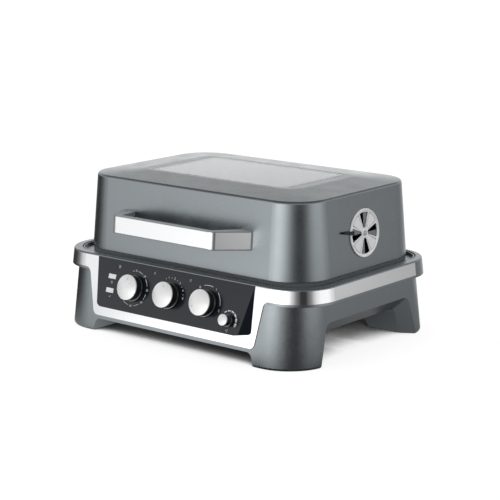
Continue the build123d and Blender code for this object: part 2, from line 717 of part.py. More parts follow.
with BuildPart() as rim_screws:
    for x, y in RIM_SCREWS:
        rod(upright(x, y, RIM_LOW + RIM_FLOOR), SCREW_SHANK / 2, -RIM_SCREW_LENGTH, 0)
        rod(upright(x, y, RIM_LOW + RIM_FLOOR), SCREW_HEAD / 2, 0, SCREW_HEAD_HEIGHT)
finish(rim_screws, "rim_screws")

with BuildPart() as foot_pads:
    near = (FOOT_POCKET_X + SEAT_GAP, FOOT_POCKET_Y + SEAT_GAP)
    corner_block(0, PAD_HEIGHT, BODY_WALL + SEAT_GAP, *near, Mode.ADD)
finish(foot_pads, "foot_pads")

# Control panel: a hollow wedge that fills the trim's opening.

with BuildPart() as control_panel:
    foot_back = RIM.front(PANEL_FOOT)
    foot_face = quad(PANEL_FOOT, PANEL_ROOT_FOOT_HALF, foot_back, PANEL_FOOT_HALF, panel_front(PANEL_FOOT))
    top_face = quad(TRIM_HIGH, PANEL_TOP_HALF, RIM.front(TRIM_HIGH), PANEL_TOP_HALF, panel_front(TRIM_HIGH))
    loft([foot_face, top_face], ruled=True)
    corners = control_panel.edges().filter_by(
        lambda e: abs(e.center().Z - PANEL_FOOT) < 0.1 and abs(e.center().X) > PANEL_FOOT_HALF
    )
    fillet(corners, PANEL_CORNER)
    gap = PANEL_FLANGE + SEAT_GAP
    plug = [
        (-PANEL_TOP_HALF + gap, 0.0),
        (-PANEL_ROOT_FOOT_HALF + gap, down_slope(TRIM_HIGH - PANEL_FOOT - gap)),
        (PANEL_ROOT_FOOT_HALF - gap, down_slope(TRIM_HIGH - PANEL_FOOT - gap)),
        (PANEL_TOP_HALF - gap, 0.0),
    ]
    prism(front_plane(TRIM_HIGH), plug, -TRIM_SQUARE, 0.2)
    low = PANEL_FOOT + PANEL_WALL + PANEL_FLANGE
    inside = PANEL_WALL / cos(panel_angle)
    half = CONTROL_WINDOW_HALF
    foot_half = PANEL_FOOT_HALF - PANEL_WALL
    low_face = quad(low, half, RIM.front(low) + 2 * TRIM_THICK, foot_half, panel_front(low) + inside)
    high = RIM_LOW + RIM_FLOOR
    high_face = quad(high, half, RIM.front(high) + 2 * TRIM_THICK, half, panel_front(high) + inside)
    loft([low_face, high_face], ruled=True, mode=Mode.SUBTRACT)
    for dial in DIALS:
        rod(panel_spot(dial.x, dial.down), dial.bush + RUNNING_FIT, -PANEL_WALL - 1, 1, Mode.SUBTRACT)
    for down in LAMP_DOWNS:
        hole = panel_spot(LAMP_X, down)
        lens_hole = (LENS_SIZE[0] + SEAT_GAP, LENS_SIZE[1] + SEAT_GAP)
        slab(hole, *lens_hole, -PANEL_WALL - 2, 1, Mode.SUBTRACT)
finish(control_panel, "control_panel")

with BuildPart() as indicator_lenses:
    for down in LAMP_DOWNS:
        lens = panel_spot(LAMP_X, down)
        slab(lens, LENS_SIZE[0], LENS_SIZE[1], LENS_PROUD - LENS_SIZE[2], LENS_PROUD, corner=0.6)
finish(indicator_lenses, "indicator_lenses")

with BuildPart() as indicator_lamps:
    for down in LAMP_DOWNS:
        lamp = panel_spot(LAMP_X, down)
        back = LENS_PROUD - LENS_SIZE[2]
        rod(lamp, LAMP_DIAMETER / 2, back - LAMP_LENGTH, back)
        slab(lamp, LENS_SIZE[0] + 4, LENS_SIZE[1], back - 1.5 - LAMP_HOLDER, back - 1.5)
finish(indicator_lamps, "indicator_lamps")

# Dials and the units that they turn. Each unit's bush passes through the panel's face.

for dial in DIALS:
    spot = panel_spot(dial.x, dial.down)
    cap_low = dial.height - CAP_SIDE
    shaft_top = dial.height - SHAFT_BELOW_TOP
    shaft_low = -PANEL_WALL - dial.unit[2] / 2
    hollow = dial.radius - DIAL_WALL
    hollow_top = cap_low - DIAL_TOP_WALL
    hub = dial.bush + 0.6
    hub_low = NUT_HEIGHT + 1.6

    with BuildPart() as unit:
        slab(spot, dial.unit[0], dial.unit[1], -PANEL_WALL - dial.unit[2], -PANEL_WALL, corner=2.0)
        rod(spot, dial.bush, -PANEL_WALL, NUT_HEIGHT + 0.8)
        rod(spot, dial.shaft / 2 + RUNNING_FIT, shaft_low, NUT_HEIGHT + 2, Mode.SUBTRACT)
    finish(unit, dial.unit_name)

    with BuildPart() as shaft:
        rod(spot, dial.shaft / 2, shaft_low + 0.5, shaft_top)
        flat = spot.shift_origin(spot.from_local_coords((0, dial.shaft * (0.5 + SHAFT_FLAT), 0)))
        slab(flat, dial.shaft, dial.shaft, NUT_HEIGHT + 2.4, shaft_top + 1, Mode.SUBTRACT)
    finish(shaft, dial.name + "_shaft")

    with BuildPart() as knob:
        turned(
            spot,
            [
                (0, shaft_top + 0.3),
                (0, cap_low),
                (dial.radius - 0.3, cap_low),
                (dial.radius, cap_low - 0.3),
                (dial.radius, dial.skirt + 0.6),
                (dial.skirt_radius - 0.4, dial.skirt),
                (dial.skirt_radius, dial.skirt - 0.4),
                (dial.skirt_radius, DIAL_GAP),
                (hollow, DIAL_GAP),
                (hollow, hollow_top),
                (hub, hollow_top),
                (hub, hub_low),
                (dial.shaft / 2, hub_low),
                (dial.shaft / 2, shaft_top + 0.3),
            ],
        )
    finish(knob, dial.name)

    with BuildPart() as cap:
        rod(spot, dial.radius, cap_low, dial.height)
        side = Plane(origin=spot.origin, x_dir=spot.x_dir, z_dir=spot.x_dir.cross(spot.z_dir))
        with BuildSketch(side) as dome:
            with BuildLine():
                rim_point = (dial.radius, dial.height)
                crown = (0, dial.height + dial.dome)
                Line((0, dial.height), crown)
                TangentArc(crown, rim_point, tangent=(1, 0))
                Line(rim_point, (0, dial.height))
            make_face()
        revolve(dome.sketch.face(), axis=Axis(spot.origin, spot.z_dir))
    finish(cap, dial.name + "_cap")

with BuildPart() as panel_nuts:
    for dial in DIALS:
        nut = panel_spot(dial.x, dial.down)
        with BuildSketch(nut) as outline:
            RegularPolygon(dial.bush + 1.8, 6)
            Circle(dial.bush + RUNNING_FIT, mode=Mode.SUBTRACT)
        extrude(outline.sketch.face(), amount=NUT_HEIGHT)
finish(panel_nuts, "panel_nuts")

# Lid: a leaning wall under a gently crowned top, with a shelf for the window.


def crown_face(z, inset):
    """The crown's outline, a little larger than the window."""
    width = WINDOW_WIDTH + 2 * LID_CROWN_MARGIN[0] - 2 * inset
    depth = WINDOW_DEPTH + 2 * LID_CROWN_MARGIN[1] - 2 * inset
    return rounded(width, depth, LID_CROWN_CORNER - inset, 0, LID_Y, z)


def lid_form(low, inset, mode=Mode.ADD):
    """Adds or cuts the lid's whole form, moved in by inset."""
    shoulder = LID_SHOULDER - inset
    LID.block(low, shoulder, inset, mode)
    loft([LID.face(shoulder, inset), crown_face(LID_CROWN - inset, inset)], ruled=True, mode=mode)


def lid_front(z, x=0.0):
    """A plane on the lid's front wall, with its normal outwards."""
    return Plane(origin=(x, LID.front(z), z), x_dir=(1, 0, 0), z_dir=(0, -1, LID_LEAN))


def lid_rear(z, x=0.0):
    """A plane on the lid's rear wall, with its normal outwards."""
    return Plane(origin=(x, LID.rear(z), z), x_dir=(-1, 0, 0), z_dir=(0, 1, LID_LEAN))


vent_plane = Plane(
    origin=(LID.half_width(VENT_Z), VENT_Y, VENT_Z), x_dir=(0, 1, 0), z_dir=(1, 0, LID_LEAN)
)


def sectors(height, inner, outer, opening, turn):
    """Ring sectors on the vent's plane, as faces at one height over the lid's wall."""
    faces = []
    for step in range(VENT_OPENINGS):
        start = turn + step * 360 / VENT_OPENINGS - opening / 2
        with BuildSketch(vent_plane.offset(height)) as sector:
            with BuildLine():
                near = CenterArc((0, 0), inner, start, opening)
                far = CenterArc((0, 0), outer, start, opening)
                Line(near @ 0, far @ 0)
                Line(near @ 1, far @ 1)
            make_face()
            fillet(sector.vertices(), 1.0)
        faces += sector.sketch.faces()
    return faces


def vent_openings(height, turn):
    """The vent's four openings, as faces at one height over the lid's wall."""
    return sectors(height, VENT_OPENING_INNER, VENT_OPENING_OUTER, VENT_OPENING_ANGLE, turn)


window_z = LID_CROWN - WINDOW_GLASS - GASKET_THICK
LEAF_HOLES = [
    (side * (HINGE_X + x), z)
    for side in (-1, 1)
    for x in (-LEAF_HOLE_X, LEAF_HOLE_X)
    for z in LEAF_HOLE_HEIGHTS
]

with BuildPart() as lid_shell:
    lid_form(LID_LOW, 0.0)
    shoulder_edges = lid_shell.edges().filter_by(lambda e: abs(e.center().Z - LID_SHOULDER) < 0.1)
    fillet(shoulder_edges, LID_EDGE)
    lid_form(LID_LOW - 1, LID_SKIN, Mode.SUBTRACT)
    shelf = upright(0, LID_Y, window_z)
    shelf_top = LID_CROWN - LID_SKIN / 2 - window_z
    shelf_depth = WINDOW_DEPTH + 2 * LID_CROWN_MARGIN[1] - 2 * LID_SKIN
    shelf_size = (WINDOW_WIDTH + 4 * WINDOW_SHELF, shelf_depth)
    slab(shelf, *shelf_size, -WINDOW_SHELF, shelf_top, corner=WINDOW_CORNER)
    recess = (WINDOW_WIDTH + 2 * WINDOW_GAP, WINDOW_DEPTH + 2 * WINDOW_GAP)
    slab(shelf, *recess, 0, 10, Mode.SUBTRACT, WINDOW_CORNER + WINDOW_GAP)
    sight = (WINDOW_WIDTH - 2 * WINDOW_LEDGE, WINDOW_DEPTH - 2 * WINDOW_LEDGE)
    slab(shelf, *sight, -WINDOW_SHELF - 1, 1, Mode.SUBTRACT, WINDOW_CORNER - WINDOW_LEDGE / 2)
    extrude(vent_openings(2.0, VENT_TWIST), amount=-8, mode=Mode.SUBTRACT)
    rod(vent_plane, RIVET_RADIUS, -6, 2, Mode.SUBTRACT)
    for x in (-HANDLE_SCREW_X, HANDLE_SCREW_X):
        rod(lid_front(HANDLE_Z, x), SCREW_SHANK / 2, -6, 2, Mode.SUBTRACT)
    for x, z in LEAF_HOLES:
        rod(lid_rear(z, x), SCREW_SHANK / 2, -6, 2, Mode.SUBTRACT)
finish(lid_shell, "lid_shell")

with BuildPart() as window_gasket:
    inner = (WINDOW_WIDTH - 2 * WINDOW_LEDGE, WINDOW_DEPTH - 2 * WINDOW_LEDGE)
    slab(shelf, WINDOW_WIDTH, WINDOW_DEPTH, 0, GASKET_THICK, corner=WINDOW_CORNER)
    slab(shelf, *inner, -1, GASKET_THICK + 1, Mode.SUBTRACT, WINDOW_CORNER - WINDOW_LEDGE / 2)
finish(window_gasket, "window_gasket")

with BuildPart() as window_glass:
    slab(shelf, WINDOW_WIDTH, WINDOW_DEPTH, GASKET_THICK, GASKET_THICK + WINDOW_GLASS, corner=WINDOW_CORNER)
    chamfer(window_glass.edges().group_by(Axis.Z)[-1], 0.4)
finish(window_glass, "window_glass")

# Handle: a bar on two slanted ends, square to the lid's leaning front. One bright facing is
# bent round its outside.

handle_plan = Plane(
    origin=lid_front(HANDLE_Z - HANDLE_HEIGHT / 2).origin, x_dir=(1, 0, 0), z_dir=(0, LID_LEAN, 1)
)
handle_spread = HANDLE_ROOT_HALF - HANDLE_FRONT_HALF
handle_slant = hypot(handle_spread, HANDLE_REACH)


def handle_line(depth, end):
    """Corners of the handle's outer line, moved in by a depth, up to a distance from the lid."""
    half = HANDLE_FRONT_HALF - depth * (handle_slant - handle_spread) / HANDLE_REACH
    end_half = HANDLE_ROOT_HALF - (end * handle_spread + depth * handle_slant) / HANDLE_REACH
    front = depth - HANDLE_REACH
    return [(-end_half, -end), (-half, front), (half, front), (end_half, -end)]


def facing_band(outer_depth, clearance, mode=Mode.ADD):
    """Adds or cuts the bent band of the facing."""
    end = FACING_END + clearance
    border = FACING_BORDER + clearance
    with BuildSketch(handle_plan.offset(border)) as band:
        with BuildLine():
            outside = FilletPolyline(*handle_line(outer_depth, end), radius=HANDLE_BEND - outer_depth)
            inside = FilletPolyline(*handle_line(FACING_THICK, end), radius=HANDLE_BEND - FACING_THICK)
            Line(outside @ 0, inside @ 0)
            Line(outside @ 1, inside @ 1)
        make_face()
    extrude(band.sketch.face(), amount=HANDLE_HEIGHT - 2 * border, mode=mode)


with BuildPart() as handle_grip:
    with BuildSketch(handle_plan) as handle_outline:
        with BuildLine():
            Polyline(
                *handle_line(0.0, 0.0),
                (HANDLE_ROOT_INNER_HALF, 0.0),
                (HANDLE_BAR_INNER_HALF, HANDLE_BAR - HANDLE_REACH),
                (-HANDLE_BAR_INNER_HALF, HANDLE_BAR - HANDLE_REACH),
                (-HANDLE_ROOT_INNER_HALF, 0.0),
                close=True,
            )
        make_face()
    extrude(amount=HANDLE_HEIGHT)
    bends = handle_grip.edges().filter_by(lambda e: abs(e.tangent_at(0.5).Z) > 0.9).group_by(Axis.Y)[0]
    fillet(bends, HANDLE_BEND)
    facing_band(-2.0, 0.0, Mode.SUBTRACT)
    for x in (-HANDLE_SCREW_X, HANDLE_SCREW_X):
        rod(lid_front(HANDLE_Z, x), SCREW_SHANK / 2, -2, 12, Mode.SUBTRACT)
finish(handle_grip, "handle_grip")

with BuildPart() as handle_facings:
    facing_band(-FACING_PROUD, RUNNING_FIT)
finish(handle_facings, "handle_facings")

with BuildPart() as handle_screws:
    for x in (-HANDLE_SCREW_X, HANDLE_SCREW_X):
        spot = lid_front(HANDLE_Z, x)
        rod(spot, SCREW_SHANK / 2, -LID_SKIN, 11)
        rod(spot, SCREW_HEAD / 2 + 1, -LID_SKIN - SCREW_HEAD_HEIGHT, -LID_SKIN)
finish(handle_screws, "handle_screws")

# Vent damper: a pierced disc that turns on a rivet over matching openings in the lid.

disc_top = VENT_GAP + VENT_DISC

with BuildPart() as vent_damper:
    rod(vent_plane, VENT_RADIUS, VENT_GAP, disc_top)
    ring = [(VENT_RADIUS - 2.6, disc_top - 0.3), (VENT_RADIUS, disc_top - 0.3), (VENT_RADIUS, disc_top + 0.5)]
    ring += [(VENT_RADIUS - 0.5, disc_top + 0.8), (VENT_RADIUS - 2.2, disc_top + 0.8)]
    turned(vent_plane, ring)
    rod(vent_plane, VENT_HUB_RADIUS, disc_top, disc_top + 0.6)
    extrude(vent_openings(0, 0), amount=4, mode=Mode.SUBTRACT)
    outer_outline = sectors(disc_top - 0.4, VENT_OPENING_INNER + 1.5, VENT_OPENING_OUTER + 0.5, 38.0, 45.0)
    extrude(outer_outline, amount=2, mode=Mode.SUBTRACT)
    inner_outline = sectors(disc_top - 0.6, VENT_OPENING_INNER + 4.0, VENT_OPENING_OUTER - 0.3, 34.5, 45.0)
    extrude(inner_outline, amount=0.6)
    rod(vent_plane, RIVET_RADIUS + RUNNING_FIT, 0, 4, Mode.SUBTRACT)
finish(vent_damper, "vent_damper")

with BuildPart() as vent_rivet:
    rod(vent_plane, RIVET_RADIUS, -LID_SKIN - 1.5, disc_top + 1.0)
    rod(vent_plane, RIVET_RADIUS + 2, -LID_SKIN - 1.5, -LID_SKIN)
    head = disc_top + 0.6 + SEAT_GAP
    head_radius = RIVET_RADIUS + 1.4
    turned(vent_plane, [(0, head), (head_radius, head), (head_radius - 0.5, head + 0.8), (0, head + 1.4)])
finish(vent_rivet, "vent_rivet")

with BuildPart() as vent_lever:
    rise = radians(LEVER_RISE)
    lever_plane = Plane(
        origin=vent_plane.origin,
        x_dir=vent_plane.x_dir * -cos(rise) + vent_plane.y_dir * sin(rise),
        z_dir=vent_plane.z_dir,
    )
    lever_low = disc_top + 0.8
    lever = [(LEVER_START + 12, -3.2), (LEVER_START + 12, 3.2), (LEVER_END, 1.4), (LEVER_END, -1.4)]
    prism(lever_plane, lever, lever_low, lever_low + 3.0)
    foot_in, foot_out = VENT_RADIUS - 5.0, VENT_RADIUS - 2.7
    foot = [(foot_in, -3.2), (foot_in, 3.2), (foot_out, 3.0), (foot_out, -3.0)]
    prism(lever_plane, foot, disc_top, lever_low)
    fillet(vent_lever.edges().filter_by(lambda e: e.length > LEVER_END - LEVER_START - 14), 0.6)
finish(vent_lever, "vent_lever")

# Lid hinge: two brackets on the rim's rear wall, two leaves on the lid, and their pins.

barrel_reach = HINGE_LEAF_WIDTH / 2
ear_out = barrel_reach + SLIDE_GAP + HINGE_EAR
bracket_reach = ear_out + HINGE_BRACKET_MARGIN
bracket_top = RIM_TOP - RIM_EDGE

with BuildPart() as bracket_plates:
    for side in (-1, 1):
        middle = side * HINGE_X
        box_between((middle - bracket_reach, 0, 0), (middle + bracket_reach, RIM_DEPTH, RIM_DEPTH))
    RIM.block(HINGE_BRACKET_LOW, bracket_top, -HINGE_PLATE, mode=Mode.INTERSECT)
    RIM.block(HINGE_BRACKET_LOW - 1, bracket_top + 1, mode=Mode.SUBTRACT)

with BuildPart() as hinge_brackets:
    add(bracket_plates.part)
    for side in (-1, 1):
        middle = side * HINGE_X
        for x in (middle - ear_out + HINGE_EAR / 2, middle + ear_out - HINGE_EAR / 2):
            ear_plane = Plane.YZ.offset(x - HINGE_EAR / 2)
            ear = [
                (
                    RIM.rear(HINGE_BRACKET_LOW + EAR_FOOT[0]) + HINGE_PLATE / 2,
                    HINGE_BRACKET_LOW + EAR_FOOT[0],
                ),
                (HINGE_Y + 1, HINGE_BRACKET_LOW + EAR_FOOT[1]),
                (HINGE_Y + HINGE_BARREL, HINGE_Z),
                (HINGE_Y - HINGE_BARREL, HINGE_Z),
                (RIM.rear(bracket_top) + HINGE_PLATE / 2, bracket_top),
            ]
            prism(ear_plane, ear, 0, HINGE_EAR)
            boss = Plane(origin=(x - HINGE_EAR / 2, HINGE_Y, HINGE_Z), x_dir=(0, 1, 0), z_dir=(1, 0, 0))
            rod(boss, HINGE_BARREL, 0, HINGE_EAR)
            rod(boss, HINGE_PIN / 2, -1, HINGE_EAR + 1, Mode.SUBTRACT)
        for x in (middle - ear_out - BRACKET_HOLE_EDGE, middle + ear_out + BRACKET_HOLE_EDGE):
            z = RIM_LOW + BRACKET_HOLE_RAISED
            hole = Plane(origin=(x, RIM.rear(z), z), x_dir=(-1, 0, 0), z_dir=(0, 1, RIM_LEAN))
            rod(hole, SCREW_SHANK / 2, -1, HINGE_PLATE + 1, Mode.SUBTRACT)
finish(hinge_brackets, "hinge_brackets")

with BuildPart() as hinge_pins:
    for side in (-1, 1):
        pin = Plane(origin=(side * HINGE_X, HINGE_Y, HINGE_Z), x_dir=(0, 1, 0), z_dir=(1, 0, 0))
        rod(pin, HINGE_PIN / 2, -ear_out - 1, ear_out + 1)
        for start in (-ear_out - 0.1 - HINGE_PIN_HEAD_THICK, ear_out + 0.1):
            rod(pin, HINGE_PIN_HEAD, start, start + HINGE_PIN_HEAD_THICK)
finish(hinge_pins, "hinge_pins")

with BuildPart() as lid_hinges:
    for side in (-1, 1):
        middle = side * HINGE_X
        leaf = lid_rear(HINGE_LEAF_TOP, middle)
        leaf_length = (HINGE_LEAF_TOP - HINGE_Z + HINGE_BARREL) * hypot(1.0, LID_LEAN)
        leaf_low, leaf_high = (-barrel_reach, -leaf_length), (barrel_reach, 0)
        leaf_outline = [leaf_low, (leaf_high[0], leaf_low[1]), leaf_high, (leaf_low[0], leaf_high[1])]
        prism(leaf, leaf_outline, 0, HINGE_PLATE)
        knuckle = Plane(origin=(middle - barrel_reach, HINGE_Y, HINGE_Z), x_dir=(0, 1, 0), z_dir=(1, 0, 0))
        arm_back = LID.rear(HINGE_Z) - HINGE_Y + HINGE_PLATE / 2
        arm = [(arm_back, -HINGE_BARREL), (0, -HINGE_BARREL), (0, HINGE_BARREL), (arm_back, HINGE_BARREL)]
        prism(knuckle, arm, 0, HINGE_LEAF_WIDTH)
        rod(knuckle, HINGE_BARREL, 0, HINGE_LEAF_WIDTH)
        rod(knuckle, HINGE_PIN / 2 + RUNNING_FIT, -1, HINGE_LEAF_WIDTH + 1, Mode.SUBTRACT)
    for x, z in LEAF_HOLES:
        rod(lid_rear(z, x), SCREW_SHANK / 2, -1, HINGE_PLATE + 1, Mode.SUBTRACT)
finish(lid_hinges, "lid_hinges")

with BuildPart() as leaf_screws:
    for x, z in LEAF_HOLES:
        rod(lid_rear(z, x), SCREW_SHANK / 2, -LID_SKIN - 2, HINGE_PLATE)
        rod(lid_rear(z, x), SCREW_HEAD / 2, HINGE_PLATE, HINGE_PLATE + SCREW_HEAD_HEIGHT)
finish(leaf_screws, "leaf_screws")

# Lid seal, inner pan, heating and the grill plate.

with BuildPart() as lid_seal:
    SEAT.wall(GUTTER_FLOOR, SEAL_TOP, SEAL_OUTER_INSET, SEAL_INNER_INSET)
finish(lid_seal, "lid_seal")


def pan_face(z, inset):
    """The pan's outline at one height between its floor and its flange."""
    share = (z - PAN_BOTTOM) / (GUTTER_FLOOR + PAN_FLANGE_THICK - PAN_BOTTOM)
    top = PAN_TOP_INSET
    width = PAN_BOTTOM_WIDTH + share * (2 * SEAT.half_width(0, top) - PAN_BOTTOM_WIDTH)
    depth = PAN_BOTTOM_DEPTH + share * (2 * SEAT.half_depth(0, top) - PAN_BOTTOM_DEPTH)
    corner = PAN_BOTTOM_CORNER + share * (LID_CORNER - top - PAN_BOTTOM_CORNER)
    return rounded(width - 2 * inset, depth - 2 * inset, corner - inset, 0, LID_Y, z)


def pan_front(z):
    """How far forward the pan's front wall stands at one height."""
    share = (z - PAN_BOTTOM) / (GUTTER_FLOOR + PAN_FLANGE_THICK - PAN_BOTTOM)
    low = PAN_BOTTOM_DEPTH / 2
    return LID_Y - low - share * (SEAT.half_depth(0, PAN_TOP_INSET) - low)


pan_flange_top = GUTTER_FLOOR + PAN_FLANGE_THICK

with BuildPart() as inner_pan:
    SEAT.block(GUTTER_FLOOR, pan_flange_top, PAN_FLANGE_INSET)
    loft([pan_face(PAN_BOTTOM, 0), pan_face(pan_flange_top, 0)], ruled=True)
    floor = PAN_BOTTOM + PAN_WALL
    hollow_faces = [pan_face(floor, PAN_WALL), pan_face(pan_flange_top + 0.5, PAN_WALL)]
    loft(hollow_faces, ruled=True, mode=Mode.SUBTRACT)
    rod(upright(0, LID_Y, PAN_BOTTOM), DRAIN_RADIUS, -1, 3, Mode.SUBTRACT)
    for x in (-ELEMENT_END_X, ELEMENT_END_X):
        along = Plane(origin=(x, ELEMENT_START_Y, ELEMENT_Z), x_dir=(1, 0, 0), z_dir=(0, 1, 0))
        rod(along, ELEMENT_DIAMETER / 2 + SEAT_GAP, 0, 40, Mode.SUBTRACT)
    along = Plane(origin=(0, ELEMENT_START_Y, PROBE_Z), x_dir=(1, 0, 0), z_dir=(0, 1, 0))
    rod(along, PROBE_DIAMETER / 2 + SEAT_GAP, 0, 40, Mode.SUBTRACT)
    air = [pan_front(RISER_TOP) - 5, pan_front(RISER_TOP) + 8]
    outlet_low = RISER_TOP - 3 - RISER_OUTLET[1]
    box_between(
        (RISER_X - RISER_OUTLET[0] / 2, air[0], outlet_low),
        (RISER_X + RISER_OUTLET[0] / 2, air[1], outlet_low + RISER_OUTLET[1]),
        Mode.SUBTRACT,
    )
finish(inner_pan, "inner_pan")

CLAMPS = [(side * x, y) for side in (-1, 1) for x, y in zip((ELEMENT_OUTER_X, ELEMENT_INNER_X), CLAMP_YS)]

with BuildPart() as heating_element:
    with BuildLine():
        FilletPolyline(
            (-ELEMENT_END_X, ELEMENT_START_Y, ELEMENT_Z),
            (-ELEMENT_END_X, -ELEMENT_FAR_Y, ELEMENT_Z),
            (-ELEMENT_OUTER_X, -ELEMENT_FAR_Y, ELEMENT_Z),
            (-ELEMENT_OUTER_X, ELEMENT_FAR_Y + 2 * LID_Y, ELEMENT_Z),
            (-ELEMENT_INNER_X, ELEMENT_FAR_Y + 2 * LID_Y, ELEMENT_Z),
            (-ELEMENT_INNER_X, -ELEMENT_NEAR_Y, ELEMENT_Z),
            (ELEMENT_INNER_X, -ELEMENT_NEAR_Y, ELEMENT_Z),
            (ELEMENT_INNER_X, ELEMENT_FAR_Y + 2 * LID_Y, ELEMENT_Z),
            (ELEMENT_OUTER_X, ELEMENT_FAR_Y + 2 * LID_Y, ELEMENT_Z),
            (ELEMENT_OUTER_X, -ELEMENT_FAR_Y, ELEMENT_Z),
            (ELEMENT_END_X, -ELEMENT_FAR_Y, ELEMENT_Z),
            (ELEMENT_END_X, ELEMENT_START_Y, ELEMENT_Z),
            radius=ELEMENT_BEND,
        )
    start = (-ELEMENT_END_X, ELEMENT_START_Y, ELEMENT_Z)
    with BuildSketch(Plane(origin=start, x_dir=(1, 0, 0), z_dir=(0, 1, 0))):
        Circle(ELEMENT_DIAMETER / 2)
    sweep()
finish(heating_element, "heating_element")

with BuildPart() as heat_reflector:
    reflector_plane = upright(0, LID_Y, REFLECTOR_Z)
    slab(reflector_plane, REFLECTOR_WIDTH, REFLECTOR_DEPTH, 0, REFLECTOR_THICK, corner=REFLECTOR_CORNER)
    for x in (-1, 1):
        for y in (-1, 1):
            leg_x = x * (REFLECTOR_WIDTH / 2 - REFLECTOR_LEG_INSET)
            leg_y = LID_Y + y * (REFLECTOR_DEPTH / 2 - REFLECTOR_LEG_INSET)
            rod(upright(leg_x, leg_y, 0), REFLECTOR_LEG, PAN_BOTTOM + PAN_WALL, REFLECTOR_Z)
    rod(upright(0, LID_Y, REFLECTOR_Z), DRAIN_RADIUS + 2, -1, 3, Mode.SUBTRACT)
finish(heat_reflector, "heat_reflector")

with BuildPart() as element_clamps:
    for x, y in CLAMPS:
        top = ELEMENT_Z + ELEMENT_DIAMETER / 2 + CLAMP_WALL
        half_x, half_y = CLAMP_SIZE[0] / 2, CLAMP_SIZE[1] / 2
        box_between((x - half_x, y - half_y, REFLECTOR_Z + REFLECTOR_THICK), (x + half_x, y + half_y, top))
        bore = Plane(origin=(x, y, ELEMENT_Z), x_dir=(1, 0, 0), z_dir=(0, 1, 0))
        rod(bore, ELEMENT_DIAMETER / 2 + RUNNING_FIT, -half_y - 1, half_y + 1, Mode.SUBTRACT)
finish(element_clamps, "element_clamps")

plate_seat = pan_flange_top + SEAT_GAP


def flange_face(z):
    """The grill plate's flange, with rounder corners than the pan that carries it."""
    width = 2 * SEAT.half_width(0, PLATE_FLANGE_INSET)
    depth = 2 * SEAT.half_depth(0, PLATE_FLANGE_INSET)
    return rounded(width, depth, PLATE_FLANGE_CORNER, 0, LID_Y, z)


with BuildPart() as grill_plate:
    extrude(flange_face(plate_seat), amount=PLATE_FLANGE)
    wall = PLATE_WALL_INSET
    low_inset = wall + PLATE_LOW_NARROWER
    loft([SEAT.face(PLATE_LOW, low_inset), SEAT.face(plate_seat, wall)], ruled=True)
    floor = PLATE_LOW + PLATE_FLOOR
    top = plate_seat + PLATE_FLANGE + 0.5
    hollow_faces = [SEAT.face(floor, low_inset + PLATE_WALL), SEAT.face(top, wall + PLATE_WALL)]
    loft(hollow_faces, ruled=True, mode=Mode.SUBTRACT)
    rib_length = 2 * SEAT.half_depth(0, low_inset + PLATE_WALL) - 24.0
    rib_span = SEAT.half_width(0, low_inset + PLATE_WALL) - RIB_PITCH
    rib_count = 2 * int(rib_span / RIB_PITCH) + 1
    with Locations((0, LID_Y, floor + RIB_HEIGHT / 2)):
        with GridLocations(RIB_PITCH, 1, rib_count, 1):
            Box(RIB_WIDTH, rib_length, RIB_HEIGHT)
    for x in (-RIB_PITCH / 2, RIB_PITCH / 2):
        drain = (RIB_PITCH - RIB_WIDTH - 3, 30)
        slab(upright(x, LID_Y, PLATE_LOW), *drain, -1, PLATE_FLOOR + 1, Mode.SUBTRACT, 2.0)
finish(grill_plate, "grill_plate")

with BuildPart() as temperature_probe:
    probe_plane = Plane(origin=(0, PROBE_START_Y, PROBE_Z), x_dir=(1, 0, 0), z_dir=(0, 1, 0))
    rod(probe_plane, PROBE_DIAMETER / 2, 0, PROBE_LENGTH)
    back = panel_spot(0.0, DIAL_DOWN).offset(-PANEL_WALL - UNIT_SIZE[2])
    into = panel_spot(0.0, DIAL_DOWN).offset(-PANEL_WALL - UNIT_SIZE[2] - 6.0)
    with BuildLine():
        FilletPolyline(
            back.origin,
            into.origin,
            (0, PROBE_START_Y - 10.0, PROBE_Z),
            (0, PROBE_START_Y + 1.0, PROBE_Z),
            radius=3.0,
        )
    with BuildSketch(Plane(origin=back.origin, x_dir=(1, 0, 0), z_dir=-panel_plane.z_dir)):
        Circle(1.0)
    sweep()
finish(temperature_probe, "temperature_probe")

# Drip tray, its rails, and the blower.

with BuildPart() as tray_hollow:
    half = TRAY_WIDTH / 2 - TRAY_WALL
    box_between((-half, TRAY_FRONT_Y + TRAY_WALL, TRAY_LOW + TRAY_WALL), (half, RIM_DEPTH, TRAY_HIGH + 1))
    fillet(tray_hollow.edges().filter_by(Axis.Z), TRAY_CORNER - TRAY_WALL)
    BODY.block(0, RIM_LOW, TRAY_WALL + SEAT_GAP - SLIDE_GAP, mode=Mode.INTERSECT)

with BuildPart() as drip_tray:
    box_between((-TRAY_WIDTH / 2, TRAY_FRONT_Y, TRAY_LOW), (TRAY_WIDTH / 2, RIM_DEPTH, TRAY_HIGH))
    fillet(drip_tray.edges().filter_by(Axis.Z), TRAY_CORNER)
    BODY.block(0, RIM_LOW, SEAT_GAP - SLIDE_GAP, mode=Mode.INTERSECT)
    add(tray_hollow.part, mode=Mode.SUBTRACT)
finish(drip_tray, "drip_tray")

